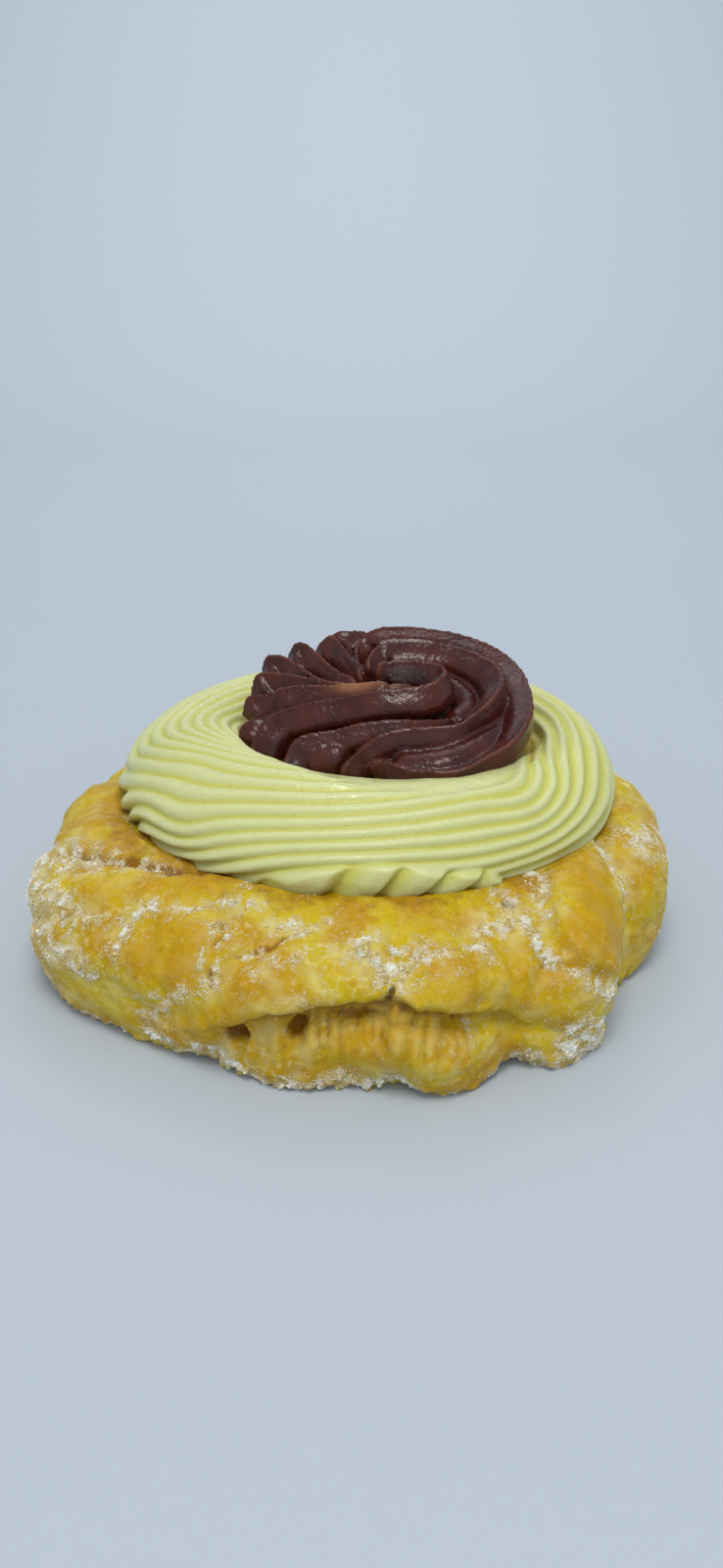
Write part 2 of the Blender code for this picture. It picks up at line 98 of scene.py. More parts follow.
def spline(points: Keys, count: int) -> Array:
    """A Catmull-Rom curve through points.

    Args:
        points: the knots, of any dimension.
        count: how many points to return.

    Returns:
        count points, evenly spaced along the curve.
    """
    knots = np.asarray(points, float)
    ends = np.vstack([2 * knots[0] - knots[1], knots, 2 * knots[-1] - knots[-2]])
    steps = np.linspace(0, len(knots) - 1, SPLINE_STEPS * len(knots), endpoint=False)
    at, u = steps.astype(int), (steps % 1)[:, None]
    curve = catmull_rom(*(ends[at + shift] for shift in range(4)), u)
    curve = np.vstack([curve, knots[-1]])
    length = np.insert(np.cumsum(np.linalg.norm(np.diff(curve, axis=0), axis=1)), 0, 0)
    even = np.linspace(0, length[-1], count)
    return np.stack([np.interp(even, length, column) for column in curve.T], axis=1)


def key_curve(x: Array, keys: Keys) -> Array:
    """A smooth curve through keys: cubic pieces whose slopes are averaged at each key.

    Args:
        x: where to read the curve.
        keys: (x, value, value, ...) rows in rising order of x.

    Returns:
        The value at each x; with several values in a row, they are the last axis.
    """
    table = np.asarray(keys, float)
    xs, ys = table[:, 0], table[:, 1:]
    slopes = np.gradient(ys, xs, axis=0)
    i = np.clip(np.searchsorted(xs, x) - 1, 0, len(xs) - 2)
    step = (xs[i + 1] - xs[i])[..., None]
    u = np.clip((np.asarray(x)[..., None] - xs[i][..., None]) / step, 0, 1)
    rise = u * u * (3 - 2 * u)
    bend = u * (1 - u) ** 2 * slopes[i] - u * u * (1 - u) * slopes[i + 1]
    value = ys[i] + (ys[i + 1] - ys[i]) * rise + bend * step
    return value[..., 0] if ys.shape[1] == 1 else value


def smoothstep(low: float, high: float, x: Array) -> Array:
    """0 below low, 1 above high, and an even S between them."""
    u = np.clip((x - low) / (high - low), 0, 1)
    return u * u * (3 - 2 * u)


def bell(away: Array, width: float, power: int = 2) -> Array:
    """1 at 0, and e to the minus (away / width) to the power beyond it."""
    return np.exp(-((away / width) ** power))


def ripples(points: Array, wavelength: float, seed: int, waves: int = 20) -> Array:
    """Smooth unevenness of about -1 to 1: plane waves of one length in fixed directions.

    Args:
        points: (..., 3) in millimetres.
        wavelength: the length of every wave, in millimetres.
        seed: what the directions and phases are drawn from.
        waves: how many waves there are.

    Returns:
        A number for each point.
    """
    rng = np.random.default_rng(seed)
    ways = rng.normal(size=(waves, 3))
    ways *= (2 * np.pi / wavelength / np.linalg.norm(ways, axis=1))[:, None]
    phases = rng.uniform(0, 2 * np.pi, waves)
    return np.cos(points @ ways.T + phases).sum(axis=-1) / np.sqrt(waves)


def lattice(cells: Array, seed: int, values: int) -> Array:
    """A number for each cell of a lattice, the same one each time.

    Args:
        cells: (..., 3) whole numbers.
        seed: what the order of the numbers is drawn from.
        values: how many different numbers there are.

    Returns:
        Whole numbers from 0 to values - 1.
    """
    table = np.random.default_rng(seed).permutation(NOISE_CELLS)
    x, y, z = (cells[..., axis] % NOISE_CELLS for axis in range(3))
    return table[(x + table[(y + table[z]) % NOISE_CELLS]) % NOISE_CELLS] % values


def lumps(points: Array, size: float, seed: int) -> Array:
    """Gradient noise of about -1 to 1.

    Each lattice corner has a random slope, and the eight slopes round a point are blended.

    Args:
        points: (..., 3) in millimetres.
        size: about how far apart the lumps are, in millimetres.
        seed: what the slopes are drawn from.

    Returns:
        A number for each point.
    """
    slopes = np.random.default_rng(seed + 1).normal(size=(NOISE_SLOPES, 3))
    slopes /= np.linalg.norm(slopes, axis=1, keepdims=True)
    scaled = points / size
    cell = np.floor(scaled).astype(int)
    part = scaled - cell
    ease = part**3 * (part * (part * 6 - 15) + 10)
    total = np.zeros(points.shape[:-1])
    for corner in product((0, 1), repeat=3):
        slope = slopes[lattice(cell + corner, seed, NOISE_SLOPES)]
        weight = np.prod(np.where(corner, ease, 1 - ease), axis=-1)
        total += weight * ((part - corner) * slope).sum(axis=-1)
    return total * NOISE_GAIN


def layered(points: Array, size: float, seed: int, layers: int = 3) -> Array:
    """Several layers of lumps, each half as large and half as strong as the one before."""
    return sum(lumps(points, size / 2**k, seed + 7 * k) / 2**k for k in range(layers))


def drift(points: Array, size: float, seed: int) -> Array:
    """Shifts of about -1 to 1 along each axis, which make straight patterns wander."""
    return np.stack([lumps(points, size, seed + axis) for axis in range(3)], axis=-1)


def away_from(points: Array, line: Array) -> tuple[Array, Array]:
    """How far points (n, 3) are from the points of a line, and the number of the nearest."""
    square = (points**2).sum(1)[:, None] + (line**2).sum(1) - 2 * points @ line.T
    return np.sqrt(np.maximum(square.min(axis=1), 0)), square.argmin(axis=1)


# --- Meshes --------------------------------------------------------------------------------


def outward_of(grid: Array) -> Array:
    """Unit normals of a grid that closes along its columns.

    Args:
        grid: (rows, columns, 3), with rows from the underside over the rim to the top and
            columns counter-clockwise.

    Returns:
        The normals, of the grid's shape.
    """
    around = np.roll(grid, -1, axis=1) - np.roll(grid, 1, axis=1)
    normal = np.cross(around, np.gradient(grid, axis=0))
    return normal / np.maximum(np.linalg.norm(normal, axis=-1, keepdims=True), TINY)


def disc(rim: Array, centre: Array, height: float, rows: int) -> Array:
    """Rows of a level disc, from its centre out to just inside its rim.

    Args:
        rim: (columns, 3) in millimetres.
        centre: where the rows start, (3,).
        height: the disc's height.
        rows: how many rows there are.

    Returns:
        (rows, columns, 3) in millimetres.
    """
    share = np.linspace(0, 1, rows + 1)[:-1, None, None]
    grid = centre + (rim - centre) * FLAT * share
    grid[..., 2] = height
    return grid


def closed_shell(grid: Array) -> tuple[Array, Array, Array]:
    """Points, quads and pole triangles of rows that close in azimuth.

    Args:
        grid: (rows, columns, 3); the first and last rows are single points repeated.

    Returns:
        points (n, 3), quads (m, 4) and triangles (k, 3).
    """
    rows, columns = grid.shape[:2]
    points = np.vstack([grid[:1, 0], grid[1:-1].reshape(-1, 3), grid[-1:, 0]])
    last = len(points) - 1
    ring = 1 + np.arange((rows - 2) * columns).reshape(rows - 2, columns)
    after = np.roll(ring, -1, axis=1)
    quads = np.stack([ring[:-1], after[:-1], after[1:], ring[1:]], axis=-1).reshape(-1, 4)
    first = np.stack([np.zeros(columns, int), after[0], ring[0]], axis=-1)
    final = np.stack([np.full(columns, last), ring[-1], after[-1]], axis=-1)
    return points, quads, np.vstack([first, final])


def new_piece(
    name: str,
    points: Array,
    faces: list[Array],
    material: bpy.types.Material,
    masks: dict[str, Array] | None = None,
) -> bpy.types.Object:
    """A smooth mesh object at the origin.

    Args:
        name: the piece's name.
        points: (n, 3) in millimetres.
        faces: index arrays, each of faces with the same number of corners.
        material: what the piece is made of.
        masks: a number for each point, by attribute name, for the material to read.

    Returns:
        The object, linked to the scene.
    """
    mesh = bpy.data.meshes.new(name)
    sizes = np.concatenate([np.full(len(some), some.shape[1]) for some in faces])
    corners = np.concatenate([some.ravel() for some in faces])
    mesh.vertices.add(len(points))
    mesh.vertices.foreach_set("co", (points * MM).astype(np.float32).ravel())
    mesh.loops.add(len(corners))
    mesh.loops.foreach_set("vertex_index", corners.astype(np.int32))
    mesh.polygons.add(len(sizes))
    starts = np.concatenate([[0], np.cumsum(sizes)[:-1]]).astype(np.int32)
    mesh.polygons.foreach_set("loop_start", starts)
    mesh.update(calc_edges=True)
    mesh.validate()
    mesh.shade_smooth()
    add_masks(mesh, masks or {})
    mesh.materials.append(material)
    piece = bpy.data.objects.new(name, mesh)
    bpy.context.scene.collection.objects.link(piece)
    return piece


def add_masks(mesh: bpy.types.Mesh, masks: dict[str, Array]) -> None:
    """Stores a number for each point under each name, held between 0 and 1."""
    for name, values in masks.items():
        layer = mesh.attributes.new(name, "FLOAT", "POINT")
        layer.data.foreach_set("value", np.clip(values, 0, 1).astype(np.float32).ravel())


def shell_piece(
    name: str, grid: Array, masks: dict[str, Array], material: bpy.types.Material
) -> bpy.types.Object:
    """A closed piece from a grid.

    Args:
        name: the piece's name.
        grid: (rows, columns, 3) in millimetres, as closed_shell takes it.
        masks: (rows, columns) by attribute name.
        material: what the piece is made of.

    Returns:
        The object, linked to the scene.
    """
    points, quads, poles = closed_shell(grid)
    masks = {
        mask: np.concatenate([values[0, :1], values[1:-1].ravel(), values[-1, :1]])
        for mask, values in masks.items()
    }
    return new_piece(name, points, [quads, poles], material, masks)


def read(items: bpy.types.bpy_prop_collection, name: str, width: int, kind: type) -> Array:
    """Reads a property of each of a mesh's items.

    Args:
        items: vertices, edges, triangles or an attribute's data.
        name: the property's name.
        width: how many numbers each item has.
        kind: the type of the numbers.

    Returns:
        The numbers, in a row for each item.
    """
    values = np.empty(len(items) * width, kind)
    items.foreach_get(name, values)
    return values.reshape(-1, width)


def mount(piece: bpy.types.Object, slot: Slot, *nodes: str) -> None:
    """Lets a piece ride on the body.

    Args:
        piece: the object.
        slot: not used.
        nodes: the CAD nodes that it stands in for, if any.
    """
    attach(piece, BODY)
    if nodes:
        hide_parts(*nodes)
    log.info("%s: %d faces", piece.name, len(piece.data.polygons))


# --- Materials -----------------------------------------------------------------------------


def linear(colour: str) -> tuple[float, float, float, float]:
    """Turns an sRGB colour to linear.

    Args:
        colour: a hex value such as "#C3CDDA".

    Returns:
        The linear RGBA that shaders take.
    """
    parts = np.array([int(colour[i : i + 2], 16) for i in (1, 3, 5)]) / 255
    curve = np.where(parts <= 0.04045, parts / 12.92, ((parts + 0.055) / 1.055) ** 2.4)
    return (*curve.tolist(), 1.0)


def feed(tree: Tree, taker: Socket, value: Feed) -> None:
    """Links an input to an output, or sets the input's own value.

    Args:
        tree: the material's node tree.
        taker: the input.
        value: an output, or else a number, a vector or a colour.
    """
    if isinstance(value, Socket):
        tree.links.new(value, taker)
    else:
        taker.default_value = value


def node(tree: Tree, kind: str, *values: Feed, out: str = "", **named: Feed | str) -> Socket:
    """Adds a shader node with its settings and links.

    Args:
        tree: the material's node tree.
        kind: the node's type, without the leading ShaderNode.
        values: what the inputs in use take, in their order.
        out: the name of the output to return, if it isn't the first one in use.
        named: settings, in small letters, and inputs by name, with a capital.

    Returns:
        The output.
    """
    made = tree.nodes.new("ShaderNode" + kind)
    for name, value in named.items():
        if name.islower():
            setattr(made, name, value)
        else:
            feed(tree, made.inputs[name], value)
    used = [taker for taker in made.inputs if taker.enabled]
    for taker, value in zip(used, values):
        feed(tree, taker, value)
    return made.outputs[out] if out else next(giver for giver in made.outputs if giver.enabled)


def coated(tree: Tree, under: str, coats: list[tuple[Socket, str]]) -> Socket:
    """A colour under coats, each laid over the ones before it.

    Args:
        tree: the material's node tree.
        under: the sRGB hex colour at the bottom.
        coats: (share, colour), where a share of 1 covers what lies under it.

    Returns:
        The colour's output.
    """
    colour = linear(under)
    for share, over in coats:
        colour = node(tree, "Mix", share, colour, linear(over), **COVER)
    return colour


@dataclass(frozen=True)
class Spots:
    """Noise on object coordinates.

    Its spots are size millimetres long. Spread, it rises from 0 at low to full at high.
    """

    size: float
    detail: float = 2.0
    low: float = 0.0
    high: float = 1.0
    full: float = 1.0

    def plain(self, tree: Tree) -> Socket:
        """The noise as it is, from 0 to 1 and mostly near its middle."""
        place = node(tree, "TexCoord", out="Object")
        scale = SPOT_LENGTH / (self.size * MM)
        return node(tree, "TexNoise", Vector=place, Scale=scale, Detail=self.detail)

    def spread(self, tree: Tree) -> Socket:
        """The noise from low to high as an even S from 0 to full."""
        span = (self.low, self.high, 0.0, self.full)
        return node(tree, "MapRange", self.plain(tree), *span, **EASED)


@dataclass(frozen=True)
class Finish:
    """What a piece is made of. Each kind says what the sockets of its shader take."""

    name: str

    def sockets(self, tree: Tree) -> dict[str, Feed]:
        """What makes the finish.

        Args:
            tree: the material's node tree.

        Returns:
            What the sockets of the Principled BSDF take, by name.
        """
        raise NotImplementedError

    def material(self) -> bpy.types.Material:
        """A new material of this finish."""
        made = bpy.data.materials.new(self.name)
        made.use_nodes = True
        tree = made.node_tree
        shader = tree.nodes["Principled BSDF"]
        for name, value in self.sockets(tree).items():
            feed(tree, shader.inputs[name], value)
        return made


@dataclass(frozen=True)
class FriedCrust(Finish):
    """Deep-fried choux: a thin, glassy, amber skin, mottled where sugar has melted on it."""

    name: str = "fried_choux_crust"
    amber: str = "#B88C04"
    yellow: str = "#C4A804"
    milk: str = "#DACE86"
    # Brown: real freckles, and painted shade in creases, cracks, holes, under the lip and custard
    brown: str = "#7C4A02"
    crumb: str = "#BA9012"
    sugar: str = "#D8CDA6"
    white: str = "#EAE2D2"
    roughness: float = 0.42
    dusted_roughness: float = 0.85
    patches: Spots = Spots(5.0, 2.0, 0.38, 0.60)
    flecks: Spots = Spots(0.8, 3.0, 0.48, 0.74)
    blotches: Spots = Spots(2.2, 3.0, 0.42, 0.72)
    freckles: Spots = Spots(0.55, 4.0, 0.5, 0.72, 0.22)
    shade_breakup: Spots = Spots(1.2, 4.0)
    grit: Spots = Spots(0.3, 2.0)
    dust_gain: float = 1.5
    grit_gain: float = 1.7
    milkiness: float = 0.8
    # From where to where the painted brown shade, specks of sugar and their white middles go,
    # and how strong they get: MapRange's four numbers
    shade_tone_span: tuple[float, ...] = (0.62, 1.45, 0.0, 0.85)
    speck_span: tuple[float, ...] = (1.1, 1.75, 0.0, 0.85)
    thick_span: tuple[float, ...] = (1.5, 2.2, 0.0, 1.0)
    # How high the milky flecks stand out, as a share of the specks
    fleck_height: float = 0.25

    def sockets(self, tree: Tree) -> dict[str, Feed]:
        """Amber to yellow patches, milky flecks, brown freckles, painted brown shade, sugar
        specks.
        """
        torn, glazed, milk, painted_shade, dust = (
            node(tree, "Attribute", out="Fac", attribute_name=mask)
            for mask in ("torn", "glazed", "milk", "painted_shade", "dust")
        )
        flecks, blotches = self.flecks.spread(tree), self.blotches.spread(tree)
        pale = node(tree, "Math", flecks, blotches, **LARGER)
        milky = node(tree, "Math", pale, milk, **TIMES)
        milky = node(tree, "Math", milky, self.milkiness, **TIMES)
        # Painted shade: the shade mask, broken up by noise, turns the crust brown
        shade_tone = node(tree, "Math", painted_shade, self.shade_breakup.plain(tree), **PLUS)
        shade_tone = node(tree, "MapRange", shade_tone, *self.shade_tone_span, **EASED)
        skin = coated(tree, self.amber, [
            (self.patches.spread(tree), self.yellow), (torn, self.crumb), (glazed, self.amber),
            (milky, self.milk), (self.freckles.spread(tree), self.brown), (shade_tone, self.brown),
        ])
        dusty = node(tree, "Math", dust, self.dust_gain, **TIMES)
        gritty = node(tree, "Math", self.grit.plain(tree), self.grit_gain, **TIMES)
        dusty = node(tree, "Math", dusty, gritty, **PLUS)
        specks = node(tree, "MapRange", dusty, *self.speck_span, **EASED)
        thick = node(tree, "MapRange", dusty, *self.thick_span, **EASED)
        sugar = coated(tree, self.sugar, [(thick, self.white)])
        dull = (self.roughness, self.dusted_roughness)
        height = node(tree, "Math", pale, self.fleck_height, **TIMES)
        height = node(tree, "Math", specks, height, **PLUS)
        return {
            "Base Color": node(tree, "Mix", specks, skin, sugar, **COVER),
            "Roughness": node(tree, "MapRange", specks, 0.0, 1.0, *dull, **EASED),
            "Normal": node(tree, "Bump", Height=height, Strength=0.6, Distance=0.3 * MM),
            "IOR": 1.45,
            "Specular IOR Level": 0.18,
            "Subsurface Weight": 0.25,
            "Subsurface Scale": 1.0 * MM,
            "Subsurface Radius": (2.4, 1.5, 0.4),
        }


@dataclass(frozen=True)
class PipedCustard(Finish):
    """Cooked custard, piped cold: satiny with wet patches, pale on ridges, painted shade between.
    """

    name: str = "piped_custard"
    ridge: str = "#C8CA90"
    # Yellow painted shade between the ridges
    valley_shade: str = "#C4C254"
    # Deeper painted shade in the well, under the rosette's edge at the right front and in the
    # groove
    well: str = "#C0A812"
    roughness: float = 0.42
    wet_roughness: float = 0.2
    wetness: Spots = Spots(3.0)
    fine_grain: Spots = Spots(0.45, 3.0)
    grain: Spots = Spots(1.5, 2.0)

    def sockets(self, tree: Tree) -> dict[str, Feed]:
        """Pale ridges, yellow painted shade in the valleys, and deeper painted shade in the well.
        """
        valley_shade, well = (
            node(tree, "Attribute", out="Fac", attribute_name=mask) for mask in ("valley_shade", "well")
        )
        depth = node(tree, "MapRange", valley_shade, 0.25, 1.0, 0.0, 0.9, **EASED)
        dull = (self.roughness, self.wet_roughness)
        wet = node(tree, "MapRange", self.wetness.plain(tree), 0.42, 0.62, *dull, **EASED)
        grain = node(tree, "Math", self.fine_grain.plain(tree), self.grain.plain(tree), **PLUS)
        return {
            "Base Color": coated(tree, self.ridge, [(depth, self.valley_shade), (well, self.well)]),
            "Roughness": wet,
            "Normal": node(tree, "Bump", Height=grain, Strength=0.5, Distance=0.2 * MM),
            "IOR": 1.42,
            "Specular IOR Level": 0.5,
            "Subsurface Weight": 0.3,
            "Subsurface Scale": 1.0 * MM,
            "Subsurface Radius": (3.0, 2.4, 0.8),
        }


@dataclass(frozen=True)
class ChocolateCream(Finish):
    """Chocolate custard cream: dark, satiny, faintly grainy where the light catches it."""

    name: str = "chocolate_cream"
    dark: str = "#3A1511"
    light: str = "#4A1F17"
    # Painted shade in grooves and the eye, then a painted orange highlight along crests
    groove: str = "#140605"
    crest: str = "#864522"
    dry: str = "#A0683F"
    roughness: float = 0.18
    dry_roughness: float = 0.6
    patches: Spots = Spots(3.5, 2.0, 0.35, 0.65)
    grain: Spots = Spots(0.5, 3.0)

    def sockets(self, tree: Tree) -> dict[str, Feed]:
        """Dark brown; painted shade in grooves, painted orange highlight on crests, both rougher;
        dry, orange tail.
        """
        groove, crest, dry = (
            node(tree, "Attribute", out="Fac", attribute_name=mask)
            for mask in ("groove", "crest", "dry")
        )
        body = coated(tree, self.dark, [
            (self.patches.spread(tree), self.light), (groove, self.groove), (crest, self.crest),
            (dry, self.dry),
        ])
        dull = node(tree, "Math", node(tree, "Math", crest, dry, **LARGER), groove, **LARGER)
        dullness = (self.roughness, self.dry_roughness)
        grain = self.grain.plain(tree)
        return {
            "Base Color": body,
            "Roughness": node(tree, "MapRange", dull, 0.0, 1.0, *dullness, **EASED),
            "Normal": node(tree, "Bump", Height=grain, Strength=0.75, Distance=0.2 * MM),
            "IOR": 1.46,
            "Specular IOR Level": 0.36,
            "Subsurface Weight": 0.04,
            "Subsurface Scale": 0.5 * MM,
        }


@dataclass(frozen=True)
class CasterSugar(Finish):
    """Caster sugar: clear crystals that look white because light scatters inside them."""

    name: str = "caster_sugar"
    colour: str = "#E6DFD0"
    syrup: str = "#C8AE64"
    melted: Spots = Spots(1.2, 2.0, 0.40, 0.62)

    def sockets(self, tree: Tree) -> dict[str, Feed]:
        """White, and yellow in patches where a grain has begun to melt."""
        return {
            "Base Color": coated(tree, self.colour, [(self.melted.spread(tree), self.syrup)]),
            "Roughness": 0.3,
            "IOR": 1.54,
            "Subsurface Weight": 0.3,
            "Subsurface Scale": 0.3 * MM,
        }


@dataclass(frozen=True)
class PaleBoard(Finish):
    """Matt painted board, for the floor and the backdrop."""

    name: str = "pale_board"
    colour: str = "#B4BCC4"

    def sockets(self, tree: Tree) -> dict[str, Feed]:
        """One plain colour."""
        return {"Base Color": linear(self.colour), "Roughness": 0.9}


# --- The bun -------------------------------------------------------------------------------


@dataclass(frozen=True)
class Fold:
    """A rounded fold of the crust along a path of (azimuth, rim angle)."""

    path: Keys
    half_width: float
    height: float


@dataclass(frozen=True)
class Edge:
    """A crust edge: the side left of the path stands over the side right of it.

    Each side fades with its own width, and where torn is true the lower side is torn crumb.
    """

    path: Keys
    rise: float
    rise_width: float
    drop: float
    drop_width: float
    torn: bool = False


@dataclass(frozen=True)
class Line:
    """Sugar, a glaze, a crack or a groove along a path: half width and strength or depth."""

    path: Keys
    half_width: float
    strength: float


@dataclass
class Bun:
    """The fried choux bun, as a closed shell over azimuth and rim angle.

    The rim angle is -90 at the edge of the underside, 0 at the waist and 90 at the seat under
    the custard.
    """

    height: float = 22.3
    outline: Keys = field(default_factory=lambda: [
        (0, 52.3), (30, 50.5), (60, 49.5), (90, 48.8), (120, 48.0), (150, 46.8), (168, 46.4),
        (180, 47.6), (190, 49.4), (200, 52.2), (214, 55.2), (230, 53.2), (245, 52.4), (262, 54.4),
        (275, 54.2), (285, 56.4), (293, 54.0), (306, 57.0), (316, 52.5), (325, 51.0),
        (340, 52.2), (360, 52.3),
    ])
    # Where the shoulder and the foot start to curve, as shares of the radius
    shoulder_start: float = 0.60
    foot_start: float = 0.90
    squareness: float = 0.85
    front_columns: int = 420
    back_columns: int = 220
    rim_rows: int = 132
    flat_rows: int = 9
    crease_floor: float = -1.8
    fold_share: float = 0.8
    crease_rounding: float = 0.42
    # How far from an edge its step is spread
    edge_softness: float = 0.35
    torn_reach: float = 8.0
    shade_reach: float = 1.8
    # The torn strands' noise is read at places squashed by this, so that they run up and down
    strand_squash: Array = field(default_factory=lambda: np.array([1, 1, 0.13]))
    # What is left free between the custard's foot and the crust, which rises from there
    custard_gap: float = 1.2
    custard_slope: float = 1.2
    # How much slow ripples and 5 mm lumps make the folds wander
    fold_wander: tuple[float, float] = (1.3, 0.9)
    # How much 5 mm and 1.6 mm lumps make edges and cracks wander
    edge_wander: tuple[float, float] = (0.7, 0.35)
    # Strength, size and seed of the lumps that lie over everything
    unevenness: Keys = field(default_factory=lambda: [(0.45, 6.0, 31), (0.34, 3.0, 32)])
    # The ragged foot at the front: how far its lumps stand out, and their size
    fringe_height: float = 1.3
    fringe_size: float = 2.2
    # Over how many degrees the relief fades out at both ends of the rim
    fade_angle: float = 14.0
    # Between these rim angles the crust gets painted shade towards the custard: browner, less
    # milky
    near_custard: tuple[float, float] = (52.0, 74.0)
    # How far the thin skirt of a line of sugar reaches beyond it, and how strong it is
    skirt_width: float = 2.2
    skirt_share: float = 0.35
    folds: list[Fold] = field(default_factory=lambda: [
        Fold([(254, -16), (263, -24), (272, -30)], 6.4, 3.4),
        Fold([(256, -50), (264, -54), (273, -52)], 6.0, 4.0),
        Fold([(303, -60), (308, -52), (311, -40)], 5.0, 5.6),
        Fold([(182, 38), (196, 50), (206, 64), (222, 74)], 8.5, 5.4),
        Fold([(150, 30), (168, 32), (182, 26)], 9.0, 3.2),
        Fold([(176, -36), (190, -28), (204, -26)], 8.0, 4.6),
        Fold([(194, -6), (204, 12), (214, 30), (224, 46), (236, 58), (252, 70)], 6.2, 5.2),
        Fold([(206, -16), (216, -5), (226, 2), (234, 15), (242, 28)], 7.2, 5.0),
        Fold([(208, -48), (218, -38), (228, -36), (240, -32)], 6.4, 4.6),
        Fold([(249, 33), (256, 49), (264, 63), (278, 66)], 5.6, 4.4),
        Fold([(229, -12), (238, 5), (248, 18)], 5.6, 4.6),
        Fold([(245, -15), (255, 12), (263, 32), (272, 46)], 6.6, 5.2),
        Fold([(242, -46), (252, -44), (262, -50)], 6.0, 3.4),
        Fold([(282, 53), (290, 50), (300, 47)], 5.6, 3.8),
        Fold([(279, 30), (287, 32), (296, 23)], 5.8, 5.4),
        Fold([(260, 76), (278, 73), (292, 71), (306, 70)], 6.2, 3.8),
        Fold([(292, 9), (299, 4), (306, 3)], 5.2, 4.2),
        Fold([(304, -4), (309, -20), (311, -38)], 4.6, 5.0),
        Fold([(277, -16), (282, -30), (287, -44)], 7.4, 5.6),
        Fold([(292, -24), (299, -30), (306, -44)], 6.0, 4.6),
        Fold([(322, 74), (324, 58), (317, 43), (312, 26), (311, 2)], 8.2, 6.0),
        Fold([(354, 52), (343, 35), (336, 13), (333, -12), (330, -46)], 8.6, 5.2),
        Fold([(10, 40), (6, 14), (2, -16), (0, -50)], 9.0, 3.8),
        Fold([(32, 46), (26, 20), (24, -20), (26, -50)], 9.0, 3.8),
        Fold([(40, -30), (58, -8), (78, 2), (98, -4)], 9.5, 5.0),
        Fold([(46, 34), (66, 42), (90, 46), (112, 40)], 9.5, 5.2),
        Fold([(104, -32), (124, -18), (146, -12), (164, -18)], 9.5, 5.0),
        Fold([(114, 26), (132, 22), (148, 24)], 8.5, 4.6),
        Fold([(60, -52), (84, -46), (108, -52)], 8.0, 4.0),
    ])
    edges: list[Edge] = field(default_factory=lambda: [
        Edge([(248, -12), (254, -1), (262, 9), (270, 15), (276, 20), (280, 15), (285, 11),
              (292, 2), (297, -8)], 0.8, 5.0, 2.3, 4.0, torn=True),
        Edge([(316, 76), (311, 64), (306, 54), (304, 42), (304, 28), (306, 18), (310, 4)],
             0.8, 4.0, 0.8, 4.0),
        Edge([(322, -10), (323, 14), (326, 32), (330, 50), (334, 64)], 0.9, 4.0, 1.2, 5.0),
        Edge([(252, 68), (244, 56), (232, 42), (222, 25), (212, 6)], 0.5, 4.0, 0.7, 3.5),
    ])
    cracks: list[Line] = field(default_factory=lambda: [
        Line([(248.2, 48), (248.6, 40), (248, 31), (248.4, 22), (249.4, 16)], 0.4, 1.2),
        Line([(262, 50), (257, 42), (253, 34)], 0.4, 0.4),
        Line([(206, 44), (215, 57), (224, 64), (236, 73)], 0.7, 1.0),
    ])
    holes: list[Line] = field(default_factory=lambda: [
        Line([(252.4, -14), (253.8, -13)], 1.15, 2.8),
        Line([(262, -4), (262.4, -1)], 1.2, 2.2),
        Line([(299.6, 62), (300.4, 61)], 0.6, 1.2),
        Line([(276, 20), (276.6, 23)], 0.5, 1.4),
    ])
